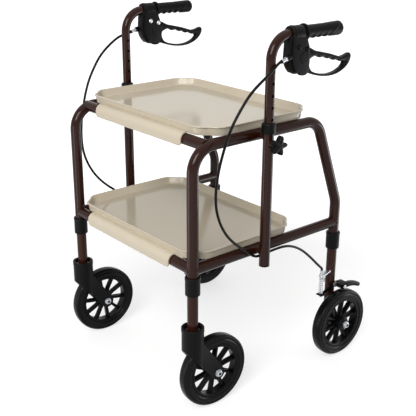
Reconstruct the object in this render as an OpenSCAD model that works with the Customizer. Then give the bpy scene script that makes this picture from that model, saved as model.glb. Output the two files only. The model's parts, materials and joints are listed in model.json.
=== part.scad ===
/* [Frame] */
// Distance between the two side frames, centre to centre
leg_spacing = 454; // [420:1:520]
// Distance from front legs to rear legs, centre to centre
wheel_base = 448; // [420:1:520]
// Outside diameter of the frame tube
tube_d = 25.4; // [22:0.1:30]
// Wall of the frame tube
tube_wall = 1.2; // [0.9:0.1:2]
// Height of the top rail's axis
top_rail_z = 619; // [590:1:680]
// Height of the lower rail's axis
lower_rail_z = 351; // [345:1:375]
// Axis radius of the bend above the front leg
front_bend_r = 55; // [45:1:65]
// Axis radius of the bend at the rear end of the top rail
rear_bend_r = 50; // [40:1:65]
// Axis radius of the slight bend in the rear leg
kink_r = 60; // [40:1:80]
// Height at which the slight bend in the rear leg starts
kink_z = 395; // [385:1:420]
// Slant of the rear leg from upright, in degrees
rear_slant = 20.9; // [12:0.1:26]
// Upper front crossbar behind the front legs
bar_setback = 36; // [25:0.5:45]
// Rear crossbars behind the front crossbars
bar_pitch = 262; // [220:1:280]

/* [Legs] */
// Outside diameter of the lower legs
leg_d = 24.4; // [20:0.1:26]
// Wall of the lower legs
leg_wall = 1.5; // [1:0.1:2]
// Length of the reduced end inside the frame tube
spigot_len = 60; // [40:1:80]
// Outside diameter of the joint collars
collar_d = 34.5; // [31:0.1:40]
// Height of the joint collars
collar_h = 43; // [34:1:44]
// Lower end of the front collars
front_collar_z = 293; // [280:1:294]
// Lower end of the rear collars
rear_collar_z = 281; // [270:1:290]
// Lower end of the rear legs
rear_leg_z = 64; // [50:1:70]

/* [Handle posts] */
// Outside diameter of the handle posts
post_d = 24; // [23.6:0.1:27]
// Handle posts behind the front legs
post_setback = 179; // [160:1:200]
// Clear space between post and rails, filled by the weld
post_standoff = 9; // [2:0.5:12]
// Lower end of the posts
post_bottom_z = 325; // [315:1:330]
// Upper end of the posts
post_top_z = 644; // [638:1:650]
// Outside diameter of the guide bush
bush_d = 31; // [29:0.5:36]
// Height of the guide bush
bush_h = 24; // [18:1:30]
// Height of the bush above the end of the post
bush_cap = 8; // [5:0.5:10]
// Height of the clamping knob
knob_z = 607; // [600:1:618]
// Outside diameter of the clamping knob
knob_d = 44; // [38:1:50]
// Thickness of the clamping knob
knob_t = 15; // [12:1:20]
// Diameter of the knob's stud
stud_d = 8; // [6:0.5:9]
// Outside diameter of the threaded boss on the post
boss_d = 15; // [13:0.5:18]
// Length of the threaded boss
boss_len = 6; // [6:0.5:12]

/* [Handles] */
// Outside diameter of the handle tubes
handle_d = 21; // [19:0.1:21]
// Wall of the handle tubes
handle_wall = 1.4; // [1.2:0.1:2]
// Height of the grip's axis above the guide bush
handle_rise = 178; // [165:1:200]
// Axis radius of the handle bend
handle_bend_r = 50; // [45:1:50]
// End of the handle tube behind the post
handle_reach = 203; // [195:1:206]
// Lower end of the handle tubes
handle_bottom_z = 540; // [470:1:555]
// Diameter of the height holes
hole_d = 6.5; // [5:0.1:8]
// Spacing of the height holes
hole_pitch = 25.4; // [20:0.1:26]
// Front face of the grip behind the post
grip_start = 90; // [88:1:94]
// Length of the grip
grip_len = 118; // [112:1:125]
// Diameter of the grip
grip_d = 30; // [27:0.5:34]
// Diameter of the grip's front flange
flange_d = 37; // [35:0.5:42]
// Thickness of the grip's front flange
flange_t = 5; // [4:0.5:7]
// Radius of the finger hollows
finger_r = 17; // [14:1:24]
// Depth of the finger hollows
finger_depth = 2.6; // [1:0.1:3]

/* [Brake levers] */
// Length of the brake housing along the handle
housing_len = 52; // [50:1:58]
// Height of the brake housing below the tube's axis
housing_h = 88; // [82:1:92]
// Width of the brake housing
housing_w = 30; // [26:0.5:36]
// Outside diameter of the strap round the handle tube
strap_d = 33; // [29:0.5:36]
// Length of the strap
strap_len = 34; // [30:1:38]
// Lever pivot behind the post
lever_pivot_y = 91; // [89:0.5:93]
// Lever pivot below the tube's axis
lever_pivot_drop = 33; // [31:0.5:35]
// Diameter of the lever pin
lever_pin_d = 6; // [5:0.5:8]
// Length of the lever behind its pivot
lever_len = 154; // [140:1:165]
// Height of the lever loop below its pivot
lever_h = 68; // [62:1:74]
// Thickness of the lever
lever_t = 13; // [10:0.5:15]
// Diameter of the housing's clamp bolt
clamp_bolt_d = 6; // [5:0.5:7]
// Diameter of the cable ferrule
ferrule_d = 9; // [8:0.5:11]
// Visible length of the cable ferrule
ferrule_len = 25; // [18:0.5:28]

/* [Wheels] */
// Diameter of the wheels
wheel_d = 175; // [160:1:180]
// Width of the tyres
tyre_w = 28; // [26:0.5:32]
// Diameter of the rim under the tyre
rim_d = 134; // [126:1:140]
// Radial thickness of the rim ring
rim_t = 9; // [6:0.5:12]
// Diameter of the hub
hub_d = 34; // [28:0.5:38]
// Width of the hub of a rear wheel
rear_hub_w = 42; // [34:0.5:44]
// Width of a spoke
spoke_w = 10; // [7:0.5:12]
// Thickness of a spoke along the axle
spoke_t = 16; // [10:0.5:20]
// Number of spokes
spoke_count = 10; // [8:1:12]
// Diameter of the axle bolts
axle_d = 10; // [8:0.5:11]
// Diameter of the axle bolt heads
axle_head_d = 16; // [14:0.5:19]
// Thickness of the axle bolt heads and nuts
axle_head_t = 5; // [4:0.5:7]

/* [Casters] */
// Diameter of the caster housing
caster_d = 50; // [48:0.5:54]
// Upper end of the caster housing
caster_top_z = 214; // [212:1:228]
// Lower front edge of the caster housing
caster_boot_z = 162; // [156:1:170]
// Axle behind the swivel axis
caster_trail = 56; // [50:1:64]
// Turn of the casters from straight back, in degrees
caster_turn = 3; // [0:1:20]
// Clear space beside the tyre in the fork
fork_side_gap = 2; // [2:0.1:4]
// Clear space above the tyre in the fork
fork_top_gap = 5; // [4:0.5:7]
// Radius of the fork's end round the axle
fork_end_r = 17; // [15:0.5:20]
// Diameter of the recess at the top of the housing
recess_d = 40; // [36:0.5:42]
// Depth of the recess at the top of the housing
recess_depth = 10; // [8:0.5:12]
// Diameter of the swivel stem
stem_d = 12; // [10:0.5:14]

/* [Rear brakes] */
// Brake pivot above the floor
brake_pivot_z = 185; // [182:0.5:190]
// Diameter of the brake pivot bolt
brake_pin_d = 8; // [6:0.5:9]
// Thickness of the brake arm
arm_t = 4; // [3:0.5:4.5]
// Height of the brake arm
arm_h = 15; // [12:0.5:18]
// Cable line in front of the rear leg
adjuster_ahead = 50; // [46:0.5:54]
// Drop of the arm's front tab below the pivot
tab_drop = 14; // [10:0.5:18]
// Thickness of the shoe
shoe_t = 9; // [6:0.5:11]
// Width of the shoe
shoe_w = 20; // [16:0.5:24]
// Turn of the arm from rest to full braking, in degrees
brake_turn = 12; // [8:1:14]
// Height of the cable bracket's middle
bracket_z = 221; // [216:1:226]
// Thickness of the cable bracket
bracket_t = 4; // [3:0.5:5]
// Mean diameter of the return spring
spring_d = 9.6; // [8.8:0.1:12]
// Wire of the return spring
spring_wire = 1.5; // [1:0.1:1.6]
// Turns of the return spring
spring_turns = 9; // [6:1:11]

/* [Trays] */
// Width of the trays
tray_w = 464; // [440:1:484]
// Depth of the trays
tray_d = 320; // [300:1:340]
// Height of the trays
tray_h = 20; // [16:0.5:24]
// Corner radius of the trays
tray_corner_r = 22; // [16:1:30]
// Cut across the corners of the trays
tray_cut = 36; // [30:1:46]
// Wall of the trays
tray_wall = 3; // [2:0.1:4]
// Inward draft of the tray walls
tray_draft = 6; // [3:0.5:9]
// Width of the small flange round the rim
tray_flange = 3; // [2:0.5:4]
// Thickness of the small flange round the rim
tray_flange_t = 2.5; // [2:0.1:4]
// Tray front behind the axis of the front crossbar
tray_ahead = 2; // [1:0.5:6]
// Width of the front lip
lip_w = 324; // [280:1:400]
// Lower edge of the front lip below the crossbar's axis
lip_drop = 13; // [10:0.5:20]

/* [Cables] */
// Diameter of the brake cables
cable_d = 5; // [4:0.1:6]

/* [Hidden] */
$fn = 48;
// Overrun of cuts
over = 1;
// Straight tube lengths reach this far into the bends
seam = 1;
// Slimming of a straight tube length beside its bends
bend_step = 0.05;
// Straight sides meet a round end this far inside its full radius
round_step = 0.1;
// Gap left for a weld or a tight seat
weld_gap = 0.08;
// Clearance of a turning fit
run_gap = 0.05;
// Clearance between pieces that move past each other
slide_gap = 0.3;

leg_x = leg_spacing / 2;
tube_r = tube_d / 2;
tube_bore = tube_d - 2 * tube_wall;
wheel_r = wheel_d / 2;
front_reach = max(caster_d / 2, wheel_r - caster_trail);
front_y = -(wheel_base + wheel_r - front_reach) / 2;
rear_y = front_y + wheel_base;
upper_bar_y = front_y + bar_setback;
rail_seat = tube_r + slide_gap;

// Half of the handle side
post_x = leg_x + tube_r + post_standoff + post_d / 2;
post_y = front_y + post_setback;
post_bore = handle_d + 2 * slide_gap;
weld_w = 13;
plug_t = 3;
plug_len = 14;
bush_skirt = bush_h - bush_cap;
grip_z = post_top_z + bush_cap + handle_rise;

// Clamping knob
knob_lobes = 5;
knob_core_share = 0.56;
knob_lobe_share = 0.29;
knob_neck_d = 18;
knob_neck_len = 5;
knob_x = post_x + post_d / 2 + boss_len + slide_gap;
stud_end = post_x + handle_d / 2 + slide_gap;

// Height holes below and above the knob
holes_below = 1;
holes_above = 6;

// Grip
finger_count = 4;
finger_first_share = 0.24;
finger_step_share = 0.17;

// Brake housing outline, as shares of its length and height, from the strap's front face at the tube's axis
housing_front = handle_bend_r;
housing_shares = [
    [0.04, 0.02], [0.00, -0.26], [-0.03, -0.54], [0.05, -0.74], [0.20, -0.90],
    [0.46, -0.98], [0.74, -1.00], [0.92, -0.93], [0.98, -0.72], [0.98, -0.50],
    [0.96, -0.36], [0.86, -0.20], [0.68, 0.02]
];
curve_steps = 4;
strap_front = handle_bend_r;
slot_gap = 0.5;
lever_boss_r = 11;
clamp_bolt_back = 67;
clamp_bolt_drop = 27;
bolt_head_d = 11;
bolt_head_t = 3;
ferrule_y = 47;
ferrule_drop = 46;
ferrule_side = 9;
ferrule_tilt = 15;
ferrule_seat = 8;

// Lever outlines, as shares of its length and height, from the pivot
lever_outer_shares = [
    [0.03, 0.05], [0.12, -0.10], [0.24, -0.20], [0.46, -0.30], [0.66, -0.40], [0.77, -0.43],
    [0.88, -0.40], [0.97, -0.37], [1.00, -0.48], [0.96, -0.66], [0.86, -0.84], [0.70, -0.97],
    [0.52, -1.00], [0.34, -0.95], [0.16, -0.83], [0.05, -0.72], [0.02, -0.45], [-0.02, -0.20], [-0.03, 0.02]
];
lever_hole_shares = [
    [0.17, -0.30], [0.26, -0.28], [0.34, -0.37], [0.40, -0.36], [0.48, -0.43], [0.54, -0.42],
    [0.62, -0.52], [0.68, -0.50], [0.76, -0.58], [0.83, -0.60], [0.85, -0.70], [0.78, -0.82],
    [0.66, -0.89], [0.52, -0.91], [0.36, -0.87], [0.19, -0.76], [0.13, -0.62], [0.13, -0.44]
];

// Wheels and casters
rear_hub_gap = 3;
rear_wheel_x = leg_x + leg_d / 2 + rear_hub_gap + rear_hub_w / 2;
front_hub_w = tyre_w + 2 * fork_side_gap - 2 * slide_gap;
rim_inset = 2;
rim_half = tyre_w / 2 - rim_inset;
tyre_crown_r = (wheel_d - rim_d) / 2;
tyre_groove_d = 2;
fork_inset = 3;
fork_w = caster_d - 2 * fork_inset;
fork_back = sqrt(pow(caster_d / 2, 2) - pow(fork_w / 2, 2));
shoulder_drop = 33;
shoulder_z = caster_top_z - shoulder_drop;
stem_len = 44;
stem_z = caster_top_z - stem_len;
stem_flange_t = 2;
stem_flange_d = 20;
leg_foot_z = caster_top_z - recess_depth + stem_flange_t + 2 * slide_gap;
stem_plug_len = 30;

// Leg joints
front_split_z = front_collar_z + collar_h / 2;
rear_split_z = rear_collar_z + collar_h / 2;

// Rear brake
arm_x = leg_x + leg_d / 2 + slide_gap;
line_x = arm_x + arm_t / 2;
line_y = rear_y - adjuster_ahead;
tab_z = brake_pivot_z - tab_drop;
tab_w = 18;
tab_len = 14;
tab_t = 3;
wire_d = 1.6;
wire_slot = 6;
nipple_d = 5;
nipple_len = 5;
shoe_gap = 1.6;
shoe_from = 50;
shoe_to = 84;
bracket_r = 9;
adjuster_d = 7;
adjuster_up = 14;
adjuster_down = 6;
adjuster_nut_d = 12;
adjuster_nut_t = 4;
pivot_head_d = 13;
pivot_head_t = 4;
coil_steps = 8;
wire_facets = 6;
nut_sides = 6;
spring_low = tab_z + tab_t / 2;
spring_high = bracket_z - bracket_t / 2;

// Trays
tray_facets = 32;
// Middle of a corner arc past the corner cut, as a share of its radius
arc_share = 0.414;
lip_wall = 3;
lip_gap = 1;
lip_r = tube_r + lip_gap + lip_wall;

// Left brake cable between ferrule and adjuster: out from the leg, back from the front legs, height
cable_route = [
    [52, 172, 768], [54, 148, 753], [50, 112, 728], [47, 88, 696], [43, 66, 662], [39, 50, 616],
    [35, 38, 568], [32, 34, 515], [30, 42, 472], [27, 64, 429], [24, 94, 396], [21, 128, 370],
    [19, 148, 353], [17, 166, 341], [17, 184, 339], [15, 228, 341], [13, 272, 338], [10, 310, 321],
    [8, 340, 300], [12, 365, 275], [16, 386, 252]
];
// Grip height that these points belong to; points above the low height move with the grip
cable_grip_z = 830;
cable_low_z = 340;
cable_gap = 0.8;
cable_lead = 9;
cable_rings = 76;
cable_sides = 8;

// Left pieces as they are, right pieces mirrored
module on_side(side) {
    if (side > 0) children();
    else mirror([1, 0, 0]) children();
}

module both_sides() {
    on_side(1) children();
    on_side(-1) children();
}

// Children drawn in a flat sketch: sketch x runs back, sketch y runs up, thickness runs along +X
module upright(x, y, z) {
    translate([x, y, z]) rotate([90, 0, 90]) children();
}

// A plate of thickness t centred on the sketch
module plate(t) {
    translate([0, 0, -t / 2]) linear_extrude(t) children();
}

module across(x, y, z, d, len) {
    translate([x, y, z]) rotate([0, 90, 0]) cylinder(d = d, h = len);
}

module tube_ring(d, wall) {
    difference() {
        circle(d = d);
        circle(d = d - 2 * wall);
    }
}

// Straight bar in the upright sketch, carried on past its two ends by the lengths before and after.
// It is a hair slimmer than the bends that it runs into.
module run(from, dir, len, d, before, after) {
    translate([from[0], from[1], 0]) rotate([0, 90, dir])
        translate([0, 0, -before]) cylinder(d = d - 2 * bend_step, h = len + before + after);
}

// Round bar bent about a centre in the upright sketch
module bend(centre, r, from, sweep, d) {
    translate([centre[0], centre[1], 0]) rotate(from)
        rotate_extrude(angle = sweep) translate([r, 0]) circle(d = d);
}

// Straight tube in the upright sketch
module straight_tube(len, d, wall) {
    rotate([0, 90, 0]) linear_extrude(len) tube_ring(d, wall);
}

// Point at which a line from p touches a circle
function touch(p, c, r, turn) =
    let (v = p - c, a = atan2(v[1], v[0]) + turn * acos(r / norm(v)))
    c + r * [cos(a), sin(a)];

function unit(v) = v / norm(v);

// Point on a smooth curve through points; closed curves wrap round, open ones repeat their ends
function pick(points, i, closed) =
    let (n = len(points))
    closed ? points[(i + n) % n] : points[max(0, min(n - 1, i))];

function curve_at(points, i, t, closed) =
    let (
        a = pick(points, i - 1, closed), b = pick(points, i, closed),
        c = pick(points, i + 1, closed), d = pick(points, i + 2, closed)
    )
    (2 * b + (c - a) * t + (2 * a - 5 * b + 4 * c - d) * t * t + (3 * b - a - 3 * c + d) * t * t * t) / 2;

function closed_curve(points, steps) =
    [for (i = [0 : len(points) - 1]) for (k = [0 : steps - 1]) curve_at(points, i, k / steps, true)];

function open_curve(points, count) =
    [for (k = [0 : count - 1])
        let (s = k * (len(points) - 1) / (count - 1), i = min(floor(s), len(points) - 2))
        curve_at(points, i, s - i, false)];

function scaled(shares, w, h) = [for (p = shares) [p[0] * w, p[1] * h]];

// Round tube swept along points; side gives each ring a direction that is not along the tube
module sweep_tube(points, side, d, sides) {
    last = len(points) - 1;
    rings = [
        for (i = [0 : last])
            let (
                t = unit(points[min(i + 1, last)] - points[max(i - 1, 0)]),
                n = unit(side[i] - (side[i] * t) * t),
                b = cross(t, n)
            )
            for (k = [0 : sides - 1])
                let (a = 360 * k / sides)
                points[i] + d / 2 * (cos(a) * n + sin(a) * b)
    ];
    walls = [
        for (i = [0 : last - 1]) for (k = [0 : sides - 1])
            let (a = i * sides + k, b = i * sides + (k + 1) % sides)
            each [[a, a + sides, b], [b, a + sides, b + sides]]
    ];
    far = last * sides;
    caps = [for (k = [1 : sides - 2]) each [[0, k, k + 1], [far, far + k + 1, far + k]]];
    polyhedron(rings, concat(walls, caps));
}

// Side frame: front leg, bend, top rail, bend, slanted leg, slight bend, rear leg
kink_start = [wheel_base - kink_r + kink_r * cos(rear_slant), kink_z + kink_r * sin(rear_slant)];
slant_len = (top_rail_z - rear_bend_r + rear_bend_r * sin(rear_slant) - kink_start[1]) / cos(rear_slant);
rear_bend_y = kink_start[0] - slant_len * sin(rear_slant) - rear_bend_r * cos(rear_slant);
slant_top = [
    kink_start[0] - slant_len * sin(rear_slant),
    kink_start[1] + slant_len * cos(rear_slant)
];

// The whole side frame as a solid bar, its two lower ends carried on by the length ends
module side_bar(d, ends) {
    upright(leg_x, front_y, 0) {
        run([0, front_split_z], 90, top_rail_z - front_bend_r - front_split_z, d, ends, seam);
        bend([front_bend_r, top_rail_z - front_bend_r], front_bend_r, 90, 90, d);
        run([front_bend_r, top_rail_z], 0, rear_bend_y - front_bend_r, d, seam, seam);
        bend([rear_bend_y, top_rail_z - rear_bend_r], rear_bend_r, rear_slant, 90 - rear_slant, d);
        run(slant_top, rear_slant - 90, slant_len, d, seam, seam);
        bend([wheel_base - kink_r, kink_z], kink_r, 0, rear_slant, d);
        run([wheel_base, kink_z], -90, kink_z - rear_split_z, d, seam, ends);
    }
}

module side_frame(side) {
    color("#3a2420") on_side(side) difference() {
        side_bar(tube_d, 0);
        side_bar(tube_bore, over);
    }
}

module lower_rail(side) {
    color("#3a2420") on_side(side) difference() {
        upright(leg_x, front_y, lower_rail_z) straight_tube(wheel_base, tube_d, tube_wall);
        for (y = [front_y, rear_y])
            translate([leg_x, y, lower_rail_z - tube_d]) cylinder(d = tube_d + 2 * weld_gap, h = 2 * tube_d);
        across(leg_x - tube_d, front_y, lower_rail_z, tube_d + 2 * weld_gap, tube_d);
    }
}

// Crossbar between the side frames, its ends fitted to the tubes given as children
module crossbar(y, z) {
    color("#3a2420") difference() {
        translate([-leg_x, y, z]) rotate([0, 90, 0]) linear_extrude(leg_spacing) tube_ring(tube_d, tube_wall);
        both_sides() children();
    }
}

module upper_front_bar() {
    crossbar(upper_bar_y, top_rail_z) upright(leg_x, front_y, 0) {
        bend([front_bend_r, top_rail_z - front_bend_r], front_bend_r, 90, 90, tube_d + 2 * weld_gap);
        run([front_bend_r, top_rail_z], 0, tube_d, tube_d + 2 * weld_gap, seam, 0);
    }
}

module upper_rear_bar() {
    crossbar(upper_bar_y + bar_pitch, top_rail_z)
        upright(leg_x, upper_bar_y + bar_pitch - tube_d, top_rail_z)
            run([0, 0], 0, 2 * tube_d, tube_d + 2 * weld_gap, 0, 0);
}

module lower_front_bar() {
    crossbar(front_y, lower_rail_z)
        translate([leg_x, front_y, lower_rail_z - tube_d])
            cylinder(d = tube_d + 2 * weld_gap, h = 2 * tube_d);
}

module lower_rear_bar() {
    crossbar(front_y + bar_pitch, lower_rail_z)
        upright(leg_x, front_y + bar_pitch - tube_d, lower_rail_z)
            run([0, 0], 0, 2 * tube_d, tube_d + 2 * weld_gap, 0, 0);
}

// Handle post with its welds to both rails and the hole for the knob's stud
module handle_post(side) {
    color("#3a2420") on_side(side) difference() {
        union() {
            translate([post_x, post_y, post_bottom_z]) cylinder(d = post_d, h = post_top_z - post_bottom_z);
            for (z = [lower_rail_z, top_rail_z]) across(leg_x, post_y, z, weld_w, post_x - leg_x);
        }
        for (z = [lower_rail_z, top_rail_z])
            upright(leg_x, post_y - tube_d, z) run([0, 0], 0, 2 * tube_d, tube_d + 2 * weld_gap, 0, 0);
        translate([post_x, post_y, post_bottom_z - over])
            cylinder(d = post_bore, h = post_top_z - post_bottom_z + 2 * over);
        across(post_x, post_y, knob_z, stud_d + 2 * slide_gap, post_d);
    }
}

module post_bushes() {
    color("#1c1c1c") both_sides() translate([post_x, post_y, post_top_z - bush_skirt]) difference() {
        cylinder(d = bush_d, h = bush_h);
        translate([0, 0, -over]) cylinder(d = post_d + 2 * weld_gap, h = bush_skirt + over + weld_gap);
        cylinder(d = post_bore, h = bush_h + over);
    }
}

module post_end_plugs() {
    color("#1c1c1c") both_sides() translate([post_x, post_y, post_bottom_z]) {
        translate([0, 0, -plug_t]) cylinder(d = post_d, h = plug_t);
        translate([0, 0, -plug_t]) cylinder(d = post_bore - 2 * weld_gap, h = plug_t + plug_len);
    }
}

module knob_bosses() {
    color("#3a2420") both_sides() difference() {
        across(post_x, post_y, knob_z, boss_d, post_d / 2 + boss_len);
        translate([post_x, post_y, knob_z - boss_d]) cylinder(d = post_d + 2 * weld_gap, h = 2 * boss_d);
        across(post_x, post_y, knob_z, stud_d + 2 * run_gap, post_d + boss_len);
    }
}

module star_knob(side) {
    lobe_d = knob_d * knob_lobe_share;
    lobe_at = (knob_d - lobe_d) / 2;
    color("#1c1c1c") on_side(side) {
        across(knob_x, post_y, knob_z, knob_neck_d, knob_neck_len + knob_t / 2);
        across(stud_end, post_y, knob_z, stud_d, knob_x - stud_end + knob_neck_len);
        upright(knob_x + knob_neck_len, post_y, knob_z) linear_extrude(knob_t) {
            circle(d = knob_d * knob_core_share);
            for (k = [0 : knob_lobes - 1]) rotate(360 * k / knob_lobes) {
                translate([lobe_at, 0]) circle(d = lobe_d);
                translate([0, -lobe_d / 2]) square([lobe_at, lobe_d]);
            }
        }
    }
}

// Joint collars at the four legs
module leg_collar(y, z) {
    translate([leg_x, y, z]) difference() {
        cylinder(d = collar_d, h = collar_h);
        translate([0, 0, -over]) cylinder(d = leg_d + 2 * weld_gap, h = collar_h + over);
        translate([0, 0, collar_h / 2 - weld_gap]) cylinder(d = tube_d + 2 * weld_gap, h = collar_h);
    }
}

module leg_collars() {
    color("#1c1c1c") both_sides() {
        leg_collar(front_y, front_collar_z);
        leg_collar(rear_y, rear_collar_z);
    }
}

// Lower leg: full tube up to the joint, reduced end inside the frame tube
module leg_tube(low_z, split_z) {
    spigot_d = tube_bore - 2 * weld_gap;
    leg_bore = min(leg_d, spigot_d) - 2 * leg_wall;
    difference() {
        union() {
            translate([0, 0, low_z]) cylinder(d = leg_d, h = split_z - weld_gap - low_z);
            translate([0, 0, low_z]) cylinder(d = spigot_d, h = split_z + spigot_len - low_z);
        }
        translate([0, 0, low_z - over]) cylinder(d = leg_bore, h = split_z + spigot_len);
    }
}

module front_leg(side) {
    color("#4a2d26") on_side(side) translate([leg_x, front_y, 0]) leg_tube(leg_foot_z, front_split_z);
}

module rear_leg(side) {
    color("#4a2d26") on_side(side) difference() {
        translate([leg_x, rear_y, 0]) leg_tube(rear_leg_z, rear_split_z);
        across(leg_x - leg_d, rear_y, wheel_r, axle_d + 2 * weld_gap, 2 * leg_d);
        across(leg_x - leg_d, rear_y, brake_pivot_z, brake_pin_d + 2 * weld_gap, 2 * leg_d);
    }
}

// Swivel stem, plugged into the front leg
module caster_stems() {
    plug_d = min(leg_d, tube_bore - 2 * weld_gap) - 2 * leg_wall - 2 * weld_gap;
    color("#9a9a9a") both_sides() translate([leg_x, front_y, 0]) {
        translate([0, 0, stem_z]) cylinder(d = stem_d, h = leg_foot_z - stem_z);
        translate([0, 0, leg_foot_z - stem_flange_t - weld_gap]) cylinder(d = stem_flange_d, h = stem_flange_t);
        translate([0, 0, leg_foot_z - stem_flange_t]) cylinder(d = plug_d, h = stem_plug_len);
    }
}

// A caster stands on its swivel axis, turned a little from straight back
module caster_place(side) {
    translate([side * leg_x, front_y, 0]) rotate(-caster_turn) children();
}

// Side shape of the fork, t wide: upright back to the given place, slanted underside from the given height
module fork_side(t, top_z, back, low_z) {
    front = caster_d / 2 + over;
    axle = [caster_trail, wheel_r];
    high = [back, shoulder_z];
    low = [-front, low_z];
    side_r = fork_end_r - round_step;
    plate(t) polygon([
        [-front, top_z], [back, top_z], high,
        touch(high, axle, side_r, -1), touch(low, axle, side_r, 1), low
    ]);
}

// Upright round housing, two arms that grow out of it, round ends at the axle
module caster_fork(side) {
    color("#1c1c1c") caster_place(side) difference() {
        union() {
            intersection() {
                upright(0, 0, 0)
                    fork_side(2 * caster_d, caster_top_z + over, caster_d / 2 + over, caster_boot_z);
                cylinder(d = caster_d, h = caster_top_z);
            }
            intersection() {
                upright(0, 0, 0) union() {
                    fork_side(fork_w, shoulder_z + over, fork_back, caster_boot_z + round_step);
                    plate(fork_w) translate([caster_trail, wheel_r]) circle(r = fork_end_r);
                }
                translate([-caster_d / 2, 0, 0]) cube([caster_d, caster_trail + caster_d, shoulder_z]);
            }
        }
        upright(0, caster_trail, wheel_r) plate(tyre_w + 2 * fork_side_gap) circle(r = wheel_r + fork_top_gap);
        translate([0, 0, stem_z - slide_gap]) cylinder(d = stem_d + 2 * run_gap, h = caster_top_z);
        translate([0, 0, caster_top_z - recess_depth]) cylinder(d = recess_d, h = recess_depth + over);
        across(-caster_d, caster_trail, wheel_r, axle_d + 2 * weld_gap, 2 * caster_d);
    }
}

module caster_axle(side) {
    color("#c8c8c8") caster_place(side) {
        across(-fork_w / 2 - axle_head_t, caster_trail, wheel_r, axle_d, fork_w + 2 * axle_head_t);
        across(fork_w / 2, caster_trail, wheel_r, axle_head_d, axle_head_t);
        across(-fork_w / 2 - axle_head_t, caster_trail, wheel_r, axle_head_d, axle_head_t);
    }
}

// Wheels are drawn about their own centre with the axle along X
module spoked_rim(hub_w) {
    inner_r = rim_d / 2 - rim_t;
    rotate([0, 90, 0]) difference() {
        union() {
            translate([0, 0, -hub_w / 2]) cylinder(d = hub_d, h = hub_w);
            translate([0, 0, -rim_half]) linear_extrude(2 * rim_half) tube_ring(rim_d, rim_t);
            for (k = [0 : spoke_count - 1]) rotate(360 * k / spoke_count)
                translate([hub_d / 4, -spoke_w / 2, -spoke_t / 2])
                    cube([inner_r + rim_t / 2 - hub_d / 4, spoke_w, spoke_t]);
        }
        translate([0, 0, -hub_w / 2 - over]) cylinder(d = axle_d + 2 * run_gap, h = hub_w + 2 * over);
    }
}

module tyre() {
    seat_r = rim_d / 2 + weld_gap;
    rotate([0, 90, 0]) rotate_extrude() difference() {
        intersection() {
            translate([rim_d / 2, 0]) circle(r = tyre_crown_r);
            translate([seat_r, -tyre_w / 2]) square([tyre_crown_r, tyre_w]);
        }
        for (s = [-1, 1]) translate([rim_d / 2 + tyre_crown_r / 2, s * tyre_w / 2]) circle(d = tyre_groove_d);
    }
}

module front_rim(side) {
    color("#161616") caster_place(side) translate([0, caster_trail, wheel_r]) spoked_rim(front_hub_w);
}

module front_tyre(side) {
    color("#222222") caster_place(side) translate([0, caster_trail, wheel_r]) tyre();
}

module rear_axles() {
    nut_x = leg_x - leg_d / 2 - axle_head_t;
    head_x = rear_wheel_x + rear_hub_w / 2 + slide_gap;
    color("#c8c8c8") both_sides() {
        across(nut_x, rear_y, wheel_r, axle_d, head_x - nut_x);
        difference() {
            across(nut_x, rear_y, wheel_r, axle_head_d, leg_x - nut_x);
            translate([leg_x, rear_y, wheel_r - leg_d]) cylinder(d = leg_d + 2 * weld_gap, h = 2 * leg_d);
        }
        across(head_x, rear_y, wheel_r, axle_head_d, axle_head_t);
    }
}

module rear_rim(side) {
    color("#161616") on_side(side) translate([rear_wheel_x, rear_y, wheel_r]) spoked_rim(rear_hub_w);
}

module rear_tyre(side) {
    color("#222222") on_side(side) translate([rear_wheel_x, rear_y, wheel_r]) tyre();
}

// Flat link of two round ends
module link(a, ra, b, rb) {
    d = norm(b - a);
    dir = atan2(b[1] - a[1], b[0] - a[0]);
    lean = acos((ra - rb) / d);
    translate(a) circle(r = ra);
    translate(b) circle(r = rb);
    polygon([
        for (end = [[a, ra, 1], [b, rb, 1], [b, rb, -1], [a, ra, -1]])
            end[0] + (end[1] - round_step) * [cos(dir + end[2] * lean), sin(dir + end[2] * lean)]
    ]);
}

// Bracket on the front of the rear leg that holds the cable adjuster
module cable_brackets() {
    color("#c8c8c8") both_sides() difference() {
        translate([0, 0, bracket_z - bracket_t / 2]) linear_extrude(bracket_t)
            link([line_x, line_y], bracket_r, [leg_x, rear_y], bracket_r);
        translate([leg_x, rear_y, bracket_z - bracket_t])
            cylinder(d = leg_d + 2 * weld_gap, h = 2 * bracket_t);
        translate([line_x, line_y, bracket_z - bracket_t])
            cylinder(d = adjuster_d + 2 * weld_gap, h = 2 * bracket_t);
    }
}

module cable_adjusters() {
    low_z = bracket_z - bracket_t / 2 - adjuster_down;
    high_z = bracket_z + bracket_t / 2 + adjuster_up;
    color("#c8c8c8") both_sides() translate([line_x, line_y, 0]) difference() {
        union() {
            translate([0, 0, low_z]) cylinder(d = adjuster_d, h = high_z - low_z);
            translate([0, 0, bracket_z + bracket_t / 2])
                cylinder(d = adjuster_nut_d, h = adjuster_nut_t, $fn = nut_sides);
        }
        translate([0, 0, low_z - over]) cylinder(d = wire_d + 2 * slide_gap, h = high_z - low_z + 2 * over);
    }
}

module brake_pivots() {
    head_x = arm_x + arm_t + slide_gap;
    nut_x = leg_x - leg_d / 2 - pivot_head_t;
    color("#c8c8c8") both_sides() {
        across(nut_x, rear_y, brake_pivot_z, brake_pin_d, head_x - nut_x);
        difference() {
            across(nut_x, rear_y, brake_pivot_z, pivot_head_d, leg_x - nut_x);
            translate([leg_x, rear_y, brake_pivot_z - leg_d]) cylinder(d = leg_d + 2 * weld_gap, h = 2 * leg_d);
        }
        across(head_x, rear_y, brake_pivot_z, pivot_head_d, pivot_head_t);
    }
}

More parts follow.
